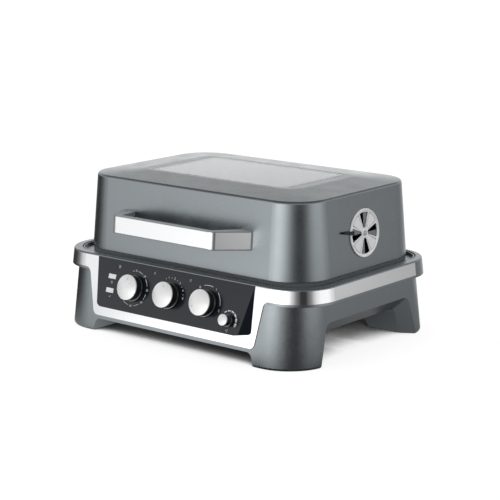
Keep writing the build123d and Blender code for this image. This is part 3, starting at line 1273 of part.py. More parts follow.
with BuildPart() as tray_pull:
    BODY.wall(TRAY_PULL_LOW, TRAY_PULL_HIGH, -TRAY_PULL_THICK - SLIDE_GAP, -SLIDE_GAP)
    half = TRAY_WIDTH / 2 + TRAY_PULL_LAP
    box_between((-half, 0, 0), (half, RIM_DEPTH, RIM_LOW), Mode.INTERSECT)
    grip_y = BODY.rear(TRAY_PULL_HIGH) + SLIDE_GAP + TRAY_PULL_THICK / 2
    grip_top = (TRAY_PULL_LOW + TRAY_PULL_HIGH) / 2 + PULL_THICK
    box_between((-PULL_HALF, grip_y, grip_top - PULL_THICK), (PULL_HALF, PULL_REAR_Y, grip_top))
    lip_front = PULL_REAR_Y - PULL_THICK
    box_between((-PULL_HALF, lip_front, grip_top - PULL_HEIGHT), (PULL_HALF, PULL_REAR_Y, grip_top))
finish(tray_pull, "tray_pull")

with BuildPart() as tray_rails:
    floor = BELLY_LOW + BELLY_FLOOR
    for side in (-1, 1):
        inner, outer = TRAY_WIDTH / 2 - RAIL_LEDGE, BELLY_HALF - BODY_WALL
        xs = sorted((side * inner, side * outer))
        box_between((xs[0], TRAY_FRONT_Y, floor), (xs[1], RAIL_REAR_Y, TRAY_LOW - SEAT_GAP))
        inner = TRAY_WIDTH / 2 + SLIDE_GAP
        xs = sorted((side * inner, side * (inner + RAIL_THICK)))
        box_between((xs[0], TRAY_FRONT_Y, floor), (xs[1], RAIL_REAR_Y, TRAY_LOW + RAIL_HEIGHT))
finish(tray_rails, "tray_rails")

blower_low = BELLY_LOW + COVER_THICK
blower = upright(BLOWER_X, BLOWER_Y, blower_low)
blower_height = BLOWER_HIGH - blower_low


def riser(wall, mode=Mode.ADD):
    """Adds or cuts the upright duct beside the blower, moved in by its wall."""
    half = RISER_WIDTH / 2 - wall
    box_between(
        (RISER_X - half, RISER_REAR_Y - RISER_DEPTH + wall, blower_low + wall),
        (RISER_X + half, RISER_REAR_Y - wall, RISER_TOP - wall),
        mode,
    )


with BuildPart() as blower_housing:
    rod(blower, BLOWER_RADIUS, 0, blower_height)
    riser(0)
    rod(blower, BLOWER_RADIUS - BLOWER_WALL, BLOWER_WALL, blower_height - BLOWER_WALL, Mode.SUBTRACT)
    riser(BLOWER_WALL, Mode.SUBTRACT)
    half = RISER_OUTLET[0] / 2
    box_between(
        (RISER_X - half, RISER_REAR_Y - 5, outlet_low),
        (RISER_X + half, RISER_REAR_Y + 5, outlet_low + RISER_OUTLET[1]),
        Mode.SUBTRACT,
    )
    rod(blower, 12, -1, BLOWER_WALL + 1, Mode.SUBTRACT)
    rod(blower, MOTOR_SHAFT_DIAMETER / 2 + 1, blower_height - 5, blower_height + 1, Mode.SUBTRACT)
finish(blower_housing, "blower_housing")

with BuildPart() as blower_motor:
    rod(blower, MOTOR_RADIUS, blower_height, blower_height + MOTOR_HEIGHT)
    motor_bore = MOTOR_SHAFT_DIAMETER / 2 + RUNNING_FIT
    rod(blower, motor_bore, blower_height - 1, blower_height + MOTOR_HEIGHT / 2, Mode.SUBTRACT)
finish(blower_motor, "blower_motor")

with BuildPart() as blower_impeller:
    low = BLOWER_WALL + 2
    rod(blower, IMPELLER_RADIUS, low + IMPELLER_HEIGHT - 1.2, low + IMPELLER_HEIGHT)
    rod(blower, 4, low, low + IMPELLER_HEIGHT)
    with Locations(blower.offset(low + IMPELLER_HEIGHT / 2)):
        with PolarLocations(IMPELLER_RADIUS - 3.5, IMPELLER_BLADES):
            Box(6.5, 1.0, IMPELLER_HEIGHT)
    rod(blower, MOTOR_SHAFT_DIAMETER / 2, low, low + IMPELLER_HEIGHT + 1, Mode.SUBTRACT)
finish(blower_impeller, "blower_impeller")

with BuildPart() as impeller_shaft:
    rod(blower, MOTOR_SHAFT_DIAMETER / 2, BLOWER_WALL + 2, blower_height + MOTOR_HEIGHT / 2 - 0.5)
finish(impeller_shaft, "impeller_shaft")

# Power inlet and wiring.


def inlet_spot(x, y):
    """A plane on the inlet's flange seat, with its normal outwards."""
    return Plane(
        origin=inlet_plane.from_local_coords((x, y, 0)),
        x_dir=inlet_plane.x_dir,
        z_dir=inlet_plane.z_dir,
    )


inlet_screw_x = INLET_FLANGE[0] / 2 - INLET_SCREW_EDGE
socket_low = INLET_FLANGE[2] - INLET_SOCKET[2]

with BuildPart() as power_inlet:
    slab(inlet_plane, INLET_FLANGE[0], INLET_FLANGE[1], 0, INLET_FLANGE[2], corner=4.0)
    slab(inlet_plane, INLET_BODY[0], INLET_BODY[1], -INLET_BODY[2], 0.5)
    slab(inlet_plane, INLET_SOCKET[0], INLET_SOCKET[1], socket_low, 5, Mode.SUBTRACT, 2.0)
    for x, y in INLET_PINS:
        slab(inlet_spot(x, y), *INLET_PIN_SIZE, socket_low - 1, INLET_PIN_TOP)
    for x in (-inlet_screw_x, inlet_screw_x):
        rod(inlet_spot(x, 0), SCREW_SHANK / 2, -1, 5, Mode.SUBTRACT)
finish(power_inlet, "power_inlet")

with BuildPart() as inlet_screws:
    for x in (-inlet_screw_x, inlet_screw_x):
        rod(inlet_spot(x, 0), SCREW_SHANK / 2, 0, INLET_FLANGE[2])
        rod(inlet_spot(x, 0), SCREW_HEAD / 2, INLET_FLANGE[2], INLET_FLANGE[2] + SCREW_HEAD_HEIGHT)
finish(inlet_screws, "inlet_screws")

with BuildPart() as terminal_block:
    width, depth, height = TERMINAL_SIZE
    with Locations((TERMINAL_X, TERMINAL_Y, SHOULDER + height / 2)):
        Box(width, depth, height)
    pitch = width / TERMINAL_WAYS
    for step in range(TERMINAL_WAYS):
        way = upright(TERMINAL_X + pitch * (step - (TERMINAL_WAYS - 1) / 2), TERMINAL_Y, SHOULDER)
        rod(way, 2.2, height - 3, height + 1, Mode.SUBTRACT)
finish(terminal_block, "terminal_block")

# The loom runs from the terminal block along the left wall to the timer's side.

loom_start = Vector(TERMINAL_X - 3, TERMINAL_Y - TERMINAL_SIZE[1] / 2, LOOM_Z)
timer_middle = panel_spot(-DIAL_PITCH, DIAL_DOWN).offset(-PANEL_WALL - UNIT_SIZE[2] / 2).origin
loom_end = timer_middle - Vector(UNIT_SIZE[0] / 2, 0, 0)

with BuildPart() as wiring_loom:
    with BuildLine():
        FilletPolyline(
            loom_start,
            loom_start - Vector(0, LOOM_ENDS[0], 0),
            (LOOM_X, loom_start.Y - LOOM_SIDE_TURNS[0], LOOM_Z),
            (LOOM_X, LOOM_SIDE_TURNS[1] - loom_start.Y, LOOM_Z),
            (LOOM_X + LOOM_FRONT_TURNS[0][0], LOOM_FRONT_TURNS[0][1] - RIM_DEPTH / 2, LOOM_Z),
            (LOOM_X + LOOM_FRONT_TURNS[1][0], LOOM_FRONT_TURNS[1][1] - RIM_DEPTH / 2, LOOM_Z + LOOM_LIFT),
            loom_end - Vector(LOOM_ENDS[1], 0, 0),
            loom_end,
            radius=LOOM_BEND,
        )
    with BuildSketch(Plane(origin=loom_start, x_dir=(1, 0, 0), z_dir=(0, -1, 0))):
        Circle(LOOM_DIAMETER / 2)
    sweep()
finish(wiring_loom, "wiring_loom")

with BuildPart() as loom_clips:
    half_length, half_height = CLIP_SIZE[0] / 2, CLIP_SIZE[1] / 2
    for y in CLIP_YS:
        box_between(
            (-CAVITY_WIDTH / 2, y - half_length, LOOM_Z - half_height),
            (LOOM_X + LOOM_DIAMETER / 2 + 2, y + half_length, LOOM_Z + half_height),
        )
        bore = Plane(origin=(LOOM_X, y, LOOM_Z), x_dir=(1, 0, 0), z_dir=(0, 1, 0))
        rod(bore, LOOM_DIAMETER / 2 + RUNNING_FIT, -half_length, half_length, Mode.SUBTRACT)
finish(loom_clips, "loom_clips")
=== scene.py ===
"""Looks of an electric table grill, built around its packed CAD frame.

Lengths are in millimetres until a mesh is written. Those of the stage and the camera are in metres.
"""

import math

import bmesh
import bpy
from bpy.props import FloatProperty, FloatVectorProperty, PointerProperty
from mathutils import Matrix, Vector

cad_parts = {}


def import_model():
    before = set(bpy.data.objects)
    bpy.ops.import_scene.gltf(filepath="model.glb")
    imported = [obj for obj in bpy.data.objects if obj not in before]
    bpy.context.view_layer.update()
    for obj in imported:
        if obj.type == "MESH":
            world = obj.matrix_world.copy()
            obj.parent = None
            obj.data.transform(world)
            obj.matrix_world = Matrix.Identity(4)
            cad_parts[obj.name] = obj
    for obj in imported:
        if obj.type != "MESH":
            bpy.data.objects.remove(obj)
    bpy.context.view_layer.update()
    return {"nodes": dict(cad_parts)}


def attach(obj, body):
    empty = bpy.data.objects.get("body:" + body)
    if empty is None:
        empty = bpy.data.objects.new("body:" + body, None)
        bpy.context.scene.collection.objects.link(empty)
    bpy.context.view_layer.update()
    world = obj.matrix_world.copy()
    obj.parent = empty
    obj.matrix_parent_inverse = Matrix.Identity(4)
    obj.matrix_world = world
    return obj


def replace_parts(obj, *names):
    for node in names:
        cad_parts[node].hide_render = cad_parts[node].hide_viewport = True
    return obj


bl_info = {
    "name": "Electric table grill",
    "version": (1, 0, 0),
    "blender": (4, 5, 0),
    "location": "3D View > Sidebar > Table grill",
    "description": "Finishes and fine details of an electric table grill",
    "category": "Object",
}

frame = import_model()

MM = 0.001
NODES = frame["nodes"]

# Where the CAD puts the control panel
RIM_FRONT = 173.739  # how far the trim's front at the panel's top edge is from the middle
PANEL_TOP = 121.0
PANEL_PROUD = 0.8  # how far the panel stands out of the trim
PANEL_TILT = math.radians(17.0)
# Each dial's distance to the right and down the panel, and its radius
DIALS = {
    "timer_dial": (-75.0, 39.5, 20.0),
    "temperature_dial": (0.0, 39.5, 20.0),
    "function_dial": (75.0, 39.5, 20.0),
    "blower_dial": (124.0, 58.0, 8.6),
}


def panel_place(x, down, height=0.0):
    """A place on the control panel's face: x to the right, y up the face, z outwards."""
    right = Vector((1, 0, 0))
    outward = Vector((0, -math.cos(PANEL_TILT), math.sin(PANEL_TILT)))
    up = outward.cross(right)
    origin = Vector((0, -RIM_FRONT - PANEL_PROUD, PANEL_TOP)) + right * x - up * down + outward * height
    place = Matrix((right, up, outward)).transposed().to_4x4()
    place.translation = origin
    return place


def place_along(origin, outward, across):
    """A place with its z axis along outward and its x axis close to across."""
    z = Vector(outward).normalized()
    y = z.cross(Vector(across)).normalized()
    place = Matrix((y.cross(z), y, z)).transposed().to_4x4()
    place.translation = Vector(origin)
    return place


FIGURE_SHARE = 0.7  # a figure's height as a share of the lettering's size


class Piece:
    """One piece while its mesh is being made, in millimetres."""

    def __init__(self, name):
        self.name = name
        self.mesh = bmesh.new()

    def verts(self, place, points):
        return [self.mesh.verts.new(place @ Vector(p)) for p in points]

    def lathe(self, place, profile, steps=48):
        """A profile of (radius, height) points turned about the place's z axis."""
        rings = []
        for radius, height in profile:
            if radius < 1e-6:
                rings.append(self.verts(place, [(0, 0, height)]) * steps)
            else:
                turns = [2 * math.pi * i / steps for i in range(steps)]
                circle = [(radius * math.cos(t), radius * math.sin(t), height) for t in turns]
                rings.append(self.verts(place, circle))
        for low, high in zip(rings, rings[1:]):
            for i in range(steps):
                corners = [low[i], low[(i + 1) % steps], high[(i + 1) % steps], high[i]]
                corners = list(dict.fromkeys(corners))
                if len(corners) > 2:
                    self.mesh.faces.new(corners)

    def plate(self, place, outline, low, high, soften=0.0):
        """A flat outline given thickness, with its upper edge softened."""
        levels = [(0.0, low), (0.0, high - soften)]
        if soften:
            levels.append((soften, high))
        rings = [self.verts(place, [(x, y, z) for x, y in shrunk(outline, inset)]) for inset, z in levels]
        count = len(outline)
        for lower, upper in zip(rings, rings[1:]):
            for i in range(count):
                self.mesh.faces.new((lower[i], lower[(i + 1) % count], upper[(i + 1) % count], upper[i]))
        self.mesh.faces.new(list(reversed(rings[0])))
        self.mesh.faces.new(rings[-1])

    def digits(self, place, text, height, thick):
        """Plain figures, centred on the place."""
        curve = bpy.data.curves.new("figures", "FONT")
        curve.body = text
        curve.size = height * MM / FIGURE_SHARE
        curve.align_x = "CENTER"
        curve.align_y = "CENTER"
        curve.extrude = thick * MM / 2
        curve.resolution_u = 3
        holder = bpy.data.objects.new("figures", curve)
        bpy.context.scene.collection.objects.link(holder)
        bpy.context.view_layer.update()
        finished = holder.evaluated_get(bpy.context.evaluated_depsgraph_get())
        made = bpy.data.meshes.new_from_object(finished)
        made.transform(Matrix.Translation((0, 0, thick / 2)) @ Matrix.Scale(1 / MM, 4))
        made.transform(place)
        self.mesh.from_mesh(made)
        bpy.data.objects.remove(holder)
        bpy.data.curves.remove(curve)
        bpy.data.meshes.remove(made)

    def make(self, surface):
        """The mesh as an object in metres, with one material."""
        bmesh.ops.recalc_face_normals(self.mesh, faces=self.mesh.faces)
        data = bpy.data.meshes.new(self.name)
        self.mesh.to_mesh(data)
        self.mesh.free()
        data.transform(Matrix.Scale(MM, 4))
        data.materials.append(surface)
        made = bpy.data.objects.new(self.name, data)
        bpy.context.scene.collection.objects.link(made)
        return made

    def finish(self, body, slot, finish, smooth=35.0):
        """Makes the object, gives it its finish and lets it ride on a body.

        Edges sharper than smooth, in degrees, stay sharp. With 0 none do.
        """
        made = self.make(material(finish))
        made.data.shade_smooth()
        if smooth:
            made.data.set_sharp_from_angle(angle=math.radians(smooth))
        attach(made, body)
        return made


def shrunk(outline, inset):
    """A flat outline moved inwards by inset."""
    if not inset:
        return outline
    count = len(outline)
    area = sum(
        outline[i][0] * outline[(i + 1) % count][1] - outline[(i + 1) % count][0] * outline[i][1]
        for i in range(count)
    )
    sign = 1 if area > 0 else -1
    moved = []
    for i in range(count):
        before, here, after = (Vector(outline[j % count]) for j in (i - 1, i, i + 1))
        first = (here - before).normalized()
        second = (after - here).normalized()
        normal = Vector((-first.y - second.y, first.x + second.x)) * sign
        if normal.length < 1e-6:
            normal = Vector((-first.y, first.x)) * sign
        normal.normalize()
        along = max(0.4, abs(normal.dot(Vector((-first.y, first.x)))))
        moved.append(tuple(here + normal * inset / along))
    return moved


def arc_bar(inner, outer, start, end, steps=None):
    """The outline of part of a ring, between two clock angles in degrees."""
    count = steps or max(3, int(abs(end - start) / 4))
    angles = [math.radians(90 - start - (end - start) * i / count) for i in range(count + 1)]
    far = [(outer * math.cos(a), outer * math.sin(a)) for a in angles]
    near = [(inner * math.cos(a), inner * math.sin(a)) for a in reversed(angles)]
    return far + near


def clock_point(radius, angle):
    """A point at a clock angle in degrees, 0 at the top."""
    return radius * math.sin(math.radians(angle)), radius * math.cos(math.radians(angle))


def strip(points, width):
    """The outline of a line of even width along a few points."""
    left, right = [], []
    for i, point in enumerate(points):
        before = Vector(points[max(i - 1, 0)])
        after = Vector(points[min(i + 1, len(points) - 1)])
        along = (after - before).normalized()
        side = Vector((-along.y, along.x)) * width / 2
        left.append(tuple(Vector(point) + side))
        right.append(tuple(Vector(point) - side))
    return left + right[::-1]


def recipe(tone, metallic, rough, speck, bumps, **more):
    """How one finish looks.

    tone      its colour's name in the settings
    metallic  0 for paint or plastic, up to 1 for bare metal
    rough     its lowest and highest roughness
    speck     the size of the fine grain that darkens its colour a little
    bumps     pairs of a size and a height
    brush     how far the grain is stretched along x, y and z
    edge      the radius that its sharp edges seem to have
    specular  the strength of its reflections, where they aren't the usual ones
    glow      how much light goes in under its surface
    glass     how much light goes through it
    """
    return dict(tone=tone, metallic=metallic, rough=rough, speck=speck, bumps=bumps, **more)


FINISHES = {
    "graphite_paint": recipe("paint", 1.0, (0.25, 0.30), 0.9, ((2.6, 0.0018), (0.5, 0.001)), edge=0.5),
    "lid_paint": recipe("paint", 1.0, (0.25, 0.30), 0.9, ((2.6, 0.0018), (0.5, 0.001)), edge=0.9),
    "cover_paint": recipe("paint", 1.0, (0.30, 0.38), 0.9, ((2.0, 0.006),), edge=0.3),
    "hinge_steel": recipe("hinge", 0.9, (0.30, 0.42), 0.8, ((1.5, 0.006),), edge=0.4),
    "bright_trim": recipe("bright", 1.0, (0.045, 0.085), 6.0, ((40.0, 0.01),), edge=0.35),
    "panel_charcoal": recipe("panel", 0.0, (0.16, 0.24), 0.5, ((0.5, 0.002),), specular=0.5, edge=0.4),
    "panel_ink": recipe("ink", 0.0, (0.45, 0.55), 0.3, ((0.3, 0.002),)),
    "lens_white": recipe("lens", 0.0, (0.12, 0.2), 1.2, ((1.6, 0.004),), edge=0.3, glow=0.35),
    "dial_black": recipe("dial", 0.0, (0.28, 0.36), 0.4, ((0.4, 0.003),), specular=0.5, edge=0.3),
    "dial_ring": recipe("ring", 1.0, (0.2, 0.3), 0.4, ((0.4, 0.002),)),
    "dial_cap": recipe("cap", 0.5, (0.26, 0.33), 0.5, ((0.35, 0.002),), edge=0.4),
    "pointer": recipe("pointer", 0.0, (0.35, 0.45), 0.3, ((0.3, 0.002),)),
    "window_glass": recipe("glass", 0.4, (0.015, 0.03), 30.0, ((90.0, 0.01),), glass=1.0),
    "grey_rubber": recipe("seal", 0.0, (0.45, 0.55), 0.6, ((0.5, 0.01),), edge=0.2),
    "seal_rubber": recipe("rubber", 0.0, (0.6, 0.75), 0.6, ((0.5, 0.01),), edge=0.2),
    "handle_frame": recipe("frame", 0.2, (0.28, 0.38), 0.6, ((0.6, 0.004),), edge=0.4),
    "handle_bright": recipe(
        "handle", 0.9, (0.18, 0.23), 0.5, ((0.25, 0.002),), brush=(60.0, 1.0, 1.0), edge=0.2
    ),
    "vent_metal": recipe("vent", 0.2, (0.3, 0.38), 0.5, ((0.6, 0.003),), edge=0.25),
    "steel": recipe("steel", 1.0, (0.22, 0.34), 0.6, ((0.8, 0.004),), edge=0.2),
    "plate_iron": recipe("iron", 0.1, (0.42, 0.6), 0.8, ((0.7, 0.02),), edge=0.8),
    "pan_steel": recipe("pan", 1.0, (0.28, 0.4), 1.0, ((12.0, 0.05), (0.6, 0.004)), edge=0.5),
    "element_steel": recipe("element", 0.8, (0.4, 0.6), 1.0, ((0.8, 0.01),)),
    "tray_metal": recipe("tray", 0.3, (0.25, 0.35), 0.7, ((1.4, 0.006),), edge=0.5),
    "black_plastic": recipe("plastic", 0.0, (0.42, 0.55), 0.5, ((0.45, 0.012),), specular=0.3, edge=0.4),
    "nylon_white": recipe("nylon", 0.0, (0.4, 0.5), 0.8, ((0.8, 0.006),), edge=0.3),
    "loom_sleeve": recipe("plastic", 0.0, (0.6, 0.75), 0.8, ((0.9, 0.08),)),
    "brass": recipe("brass", 1.0, (0.2, 0.3), 0.5, ((0.5, 0.003),)),
}


NOISE_RANGE = (0.3, 0.7)  # most of a noise lies between these


class Wiring:
    """Adds the nodes of one material or world and joins them up."""

    def __init__(self, tree):
        self.tree = tree
        self.place = self.add("ShaderNodeTexCoord").outputs["Object"]

    def add(self, kind, **values):
        node = self.tree.nodes.new(kind)
        for name, value in values.items():
            if name in node.inputs:
                node.inputs[name].default_value = value
            else:
                setattr(node, name, value)
        return node

    def join(self, output, socket):
        self.tree.links.new(output, socket)

    def noise(self, size, detail=3.0, brush=None):
        """A noise whose blobs are about size millimetres across."""
        node = self.add("ShaderNodeTexNoise", Scale=1.0 / (size * MM), Detail=detail)
        if brush:
            stretch = self.add("ShaderNodeMapping")
            stretch.inputs["Scale"].default_value = tuple(1.0 / b for b in brush)
            self.join(self.place, stretch.inputs["Vector"])
            self.join(stretch.outputs["Vector"], node.inputs["Vector"])
        else:
            self.join(self.place, node.inputs["Vector"])
        return node.outputs["Fac"]

    def spread(self, value, low, high):
        """Maps a noise to a range."""
        node = self.add("ShaderNodeMapRange")
        for name, limit in zip(("From Min", "From Max", "To Min", "To Max"), (*NOISE_RANGE, low, high)):
            node.inputs[name].default_value = limit
        self.join(value, node.inputs["Value"])
        return node.outputs["Result"]

    def blend(self, factor, first, second):
        """Mixes two colours."""
        node = self.add("ShaderNodeMix", data_type="RGBA")
        sockets = [s for s in node.inputs if s.type == "RGBA"]
        sockets[0].default_value = (*first, 1)
        sockets[1].default_value = (*second, 1)
        self.join(factor, node.inputs["Factor"])
        return [s for s in node.outputs if s.type == "RGBA"][0]

    def sum(self, operation, *values):
        """One step of arithmetic on sockets and plain numbers."""
        node = self.add("ShaderNodeMath", operation=operation)
        for value, socket in zip(values, node.inputs):
            if isinstance(value, float):
                socket.default_value = value
            else:
                self.join(value, socket)
        return node.outputs[0]

    def seen(self):
        """1 for rays that look at the surface, mirror it or pass through glass to it, and else 0."""
        rays = self.add("ShaderNodeLightPath").outputs
        mirrored = self.sum("MAXIMUM", rays["Is Glossy Ray"], rays["Is Transmission Ray"])
        return self.sum("MAXIMUM", rays["Is Camera Ray"], mirrored)

    def curve(self, angle, stops):
        """A brightness that changes evenly between stops given in degrees."""
        low, high = stops[0][0], stops[-1][0]
        top = max(bright for _, bright in stops)
        node = self.add("ShaderNodeFloatCurve")
        line = node.mapping.curves[0]
        for at, bright in stops[1:-1]:
            line.points.new((at - low) / (high - low), bright / top)
        line.points[0].location = (0.0, stops[0][1] / top)
        line.points[-1].location = (1.0, stops[-1][1] / top)
        for point in line.points:
            point.handle_type = "VECTOR"
        node.mapping.update()
        span = math.radians(high - low)
        share = self.sum("DIVIDE", self.sum("SUBTRACT", angle, math.radians(low)), span)
        self.join(share, node.inputs["Value"])
        return self.sum("MULTIPLY", node.outputs["Value"], top)

    def step(self, angle, start, end, rising=True):
        """A share that goes from 0 to 1, or from 1 to 0, between two elevations."""
        below, above = (0.0, 1.0) if rising else (1.0, 0.0)
        return self.curve(angle, ((-90.0, below), (start, below), (end, above), (90.0, above)))


def empty_wiring(owner):
    """Empties the node tree of a new material or world."""
    owner.use_nodes = True
    owner.node_tree.nodes.clear()
    return Wiring(owner.node_tree)


SLOW_SIZE = 35.0  # the size of the patches between which the roughness changes
GLOW_DEPTH = 0.002  # in metres


def material(name):
    """The finish of that name, made on its first use."""
    own_name = "finish_" + name
    found = bpy.data.materials.get(own_name)
    if found:
        return found
    look = FINISHES[name]
    colours = bpy.context.scene.grill_colours
    light = tuple(getattr(colours, look["tone"]))
    deep = tuple(c * (1.0 - colours.variation) for c in light)
    made = bpy.data.materials.new(own_name)
    wiring = empty_wiring(made)
    shader = wiring.add("ShaderNodeBsdfPrincipled", Metallic=look["metallic"])
    output = wiring.add("ShaderNodeOutputMaterial")
    wiring.join(shader.outputs["BSDF"], output.inputs["Surface"])
    brush = look.get("brush")
    grain = wiring.noise(look["speck"], 4.0, brush)
    wiring.join(wiring.blend(grain, light, deep), shader.inputs["Base Color"])
    slow = wiring.noise(SLOW_SIZE, 2.0)
    wiring.join(wiring.spread(slow, *look["rough"]), shader.inputs["Roughness"])
    normal = None
    if look.get("edge"):
        bevel = wiring.add("ShaderNodeBevel", samples=4)
        bevel.inputs["Radius"].default_value = look["edge"] * MM
        normal = bevel.outputs["Normal"]
    for size, height in look["bumps"]:
        bump = wiring.add("ShaderNodeBump", Strength=1.0, Distance=height * MM)
        wiring.join(wiring.noise(size, 2.0, brush), bump.inputs["Height"])
        if normal:
            wiring.join(normal, bump.inputs["Normal"])
        normal = bump.outputs["Normal"]
    wiring.join(normal, shader.inputs["Normal"])
    if "specular" in look:
        shader.inputs["Specular IOR Level"].default_value = look["specular"]
    if "glow" in look:
        shader.inputs["Subsurface Weight"].default_value = look["glow"]
        shader.inputs["Subsurface Radius"].default_value = (GLOW_DEPTH,) * 3
        shader.inputs["Subsurface Scale"].default_value = 1.0
    if "glass" in look:
        shader.inputs["Transmission Weight"].default_value = look["glass"]
        shader.inputs["IOR"].default_value = colours.glass_index
    return made


def linear(screen):
    """A screen colour, each part from 0 to 255, as the linear colour that shows it."""
    return tuple((v / 255 / 12.92) if v < 10 else ((v / 255 + 0.055) / 1.055) ** 2.4 for v in screen)


def colour(name, description, screen):
    """A colour setting."""
    default = linear(screen)
    return FloatVectorProperty(
        name=name, description=description, subtype="COLOR", size=3, min=0.0, max=1.0, default=default
    )


class GrillColours(bpy.types.PropertyGroup):
    """Colours of the grill's finishes."""

    paint: colour("Paint", "Satin graphite paint of the base, rim and lid", (146, 152, 155))
    hinge: colour("Hinges", "Painted steel of the hinges", (112, 116, 118))
    bright: colour("Bright trim", "Polished band and fascia", (245, 246, 247))
    panel: colour("Panel", "Charcoal of the control panel", (17, 24, 32))
    ink: colour("Print", "Light print of the scales", (232, 234, 236))
    lens: colour("Lenses", "Clear white of the two lenses", (250, 250, 249))
    dial: colour("Dials", "Black of the dials' bodies", (18, 19, 21))
    ring: colour("Dial lines", "Thin bright line round each dial", (190, 192, 195))
    cap: colour("Caps", "Satin silver of the dials' caps", (246, 246, 246))
    pointer: colour("Pointers", "Marks on the dials' caps", (205, 44, 52))
    glass: colour("Window", "Tint of the window's glass", (206, 209, 211))
    rubber: colour("Rubber", "Seals and foot pads", (38, 38, 39))
    seal: colour("Lid seal", "Grey seal between the lid and the rim", (92, 96, 99))
    frame: colour("Handle frame", "Grey frame of the handle", (150, 154, 157))
    handle: colour("Handle facings", "Brushed plate round the handle", (250, 251, 252))
    vent: colour("Vent", "Satin metal of the vent damper", (250, 251, 252))
    steel: colour("Steel", "Screws, pins and rivets", (190, 192, 195))
    iron: colour("Grill plate", "Non-stick coating of the grill plate", (44, 44, 46))
    pan: colour("Pan", "Dull metal of the inner pan", (180, 182, 184))
    element: colour("Element", "Dark oxide of the heating element", (84, 80, 80))
    tray: colour("Tray", "Dark enamel of the drip tray", (72, 74, 76))
    plastic: colour("Black plastic", "Moulded black parts", (24, 25, 27))
    nylon: colour("White nylon", "Moulded white parts", (226, 226, 220))
    brass: colour("Brass", "Contacts of the power inlet", (216, 190, 130))
    variation: FloatProperty(
        name="Variation", description="How much darker the fine grain is", min=0.0, max=0.5, default=0.07
    )
    glass_index: FloatProperty(
        name="Glass index", description="Refractive index of the window", min=1.0, max=3.0, default=1.7
    )


def size(name, description, default):
    """A setting for a small length."""
    return FloatProperty(
        name=name, description=description, unit="LENGTH", min=0.0, default=default * MM, precision=5
    )


class GrillSizes(bpy.types.PropertyGroup):
    """Sizes of the fine details."""

    scale_radius: size("Scale radius", "Radius of the printed scales round the large dials", 27.6)
    scale_line: size("Scale line", "Width of the scales' lines", 0.85)
    small_scale_radius: size("Small scale radius", "Radius of the blocks round the small dial", 14.7)
    print_height: size("Print height", "How far the print stands over the panel", 0.08)
    figure_height: size("Figure height", "Height of the scales' figures", 3.7)
    dial_line: size("Dial line", "Thickness of the bright line round each dial", 0.5)
    pointer_width: size("Pointer width", "Width of the mark on a large cap", 1.7)


def number(name, description, default, **more):
    """A setting of the stage."""
    return FloatProperty(name=name, description=description, default=default, **more)


class GrillStage(bpy.types.PropertyGroup):
    """The camera and the studio round the grill."""

    azimuth: number("Azimuth", "The camera's angle round the grill", math.radians(39.348), unit="ROTATION")
    elevation: number("Elevation", "The camera's angle upwards", math.radians(12.504), unit="ROTATION")
    distance: number("Distance", "From the camera to its aim", 2.702755, unit="LENGTH")
    aim_across: number("Aim across", "The aim's shift to the right", 0.006805, unit="LENGTH")
    aim_up: number("Aim up", "The aim's shift upwards", 0.120689, unit="LENGTH")
    lens: number("Lens", "The camera's focal length", 118.71, unit="CAMERA")
    fill: number("Fill", "Strength of the light from the whole sky", 3.3, min=0.0)
    key: number("Key", "Power of the large lamp", 7.0, unit="POWER", min=0.0)
    table_lift: number("Table lift", "Light added to the table's colour", 0.85, min=0.0)
    contact_reach: number("Contact reach", "How near a part dims that light", 0.08, unit="LENGTH", min=0.0)
    contact_width: number("Contact width", "Open sky that leaves it undimmed", 0.42, min=0.2, max=1.0)


# Which CAD nodes have which finish
PARTS = {
    "graphite_paint": ("base_shell", "rim_frame"),
    "lid_paint": ("lid_shell",),
    "cover_paint": ("bottom_cover",),
    "hinge_steel": ("hinge_brackets", "lid_hinges"),
    "bright_trim": ("trim_band",),
    "panel_charcoal": ("control_panel",),
    "lens_white": ("indicator_lenses",),
    "dial_black": ("timer_dial", "temperature_dial", "function_dial", "blower_dial"),
    "dial_cap": ("timer_dial_cap", "temperature_dial_cap", "function_dial_cap", "blower_dial_cap"),
    "window_glass": ("window_glass",),
    "seal_rubber": ("foot_pads", "window_gasket"),
    "grey_rubber": ("lid_seal",),
    "handle_frame": ("handle_grip",),
    "handle_bright": ("handle_facings",),
    "vent_metal": ("vent_damper",),
    "plate_iron": ("grill_plate",),
    "pan_steel": ("inner_pan", "heat_reflector"),
    "element_steel": ("heating_element",),
    "tray_metal": ("drip_tray", "tray_pull"),
    "black_plastic": (
        "function_switch",
        "blower_control",
        "tray_rails",
        "blower_housing",
        "power_inlet",
        "vent_lever",
    ),
    "nylon_white": (
        "indicator_lamps",
        "timer_unit",
        "thermostat_unit",
        "terminal_block",
        "loom_clips",
        "blower_impeller",
    ),
    "loom_sleeve": ("wiring_loom",),
    "steel": (
        "cover_screws",
        "rim_screws",
        "panel_nuts",
        "hinge_pins",
        "element_clamps",
        "temperature_probe",
        "blower_motor",
        "inlet_screws",
        "handle_screws",
        "vent_rivet",
        "leaf_screws",
        "timer_dial_shaft",
        "temperature_dial_shaft",
        "function_dial_shaft",
        "blower_dial_shaft",
        "impeller_shaft",
    ),
}


class GRILL_OT_finish_parts(bpy.types.Operator):
    """Gives every part of the CAD frame its finish"""

    bl_idname = "grill.finish_parts"
    bl_label = "Finish the parts"

    def execute(self, context):
        left = set(NODES)
        for finish, names in PARTS.items():
            for name in names:
                data = NODES[name].data
                data.materials.clear()
                data.materials.append(material(finish))
                left.discard(name)
        if left:
            raise RuntimeError("no finish for " + ", ".join(sorted(left)))
        return {"FINISHED"}


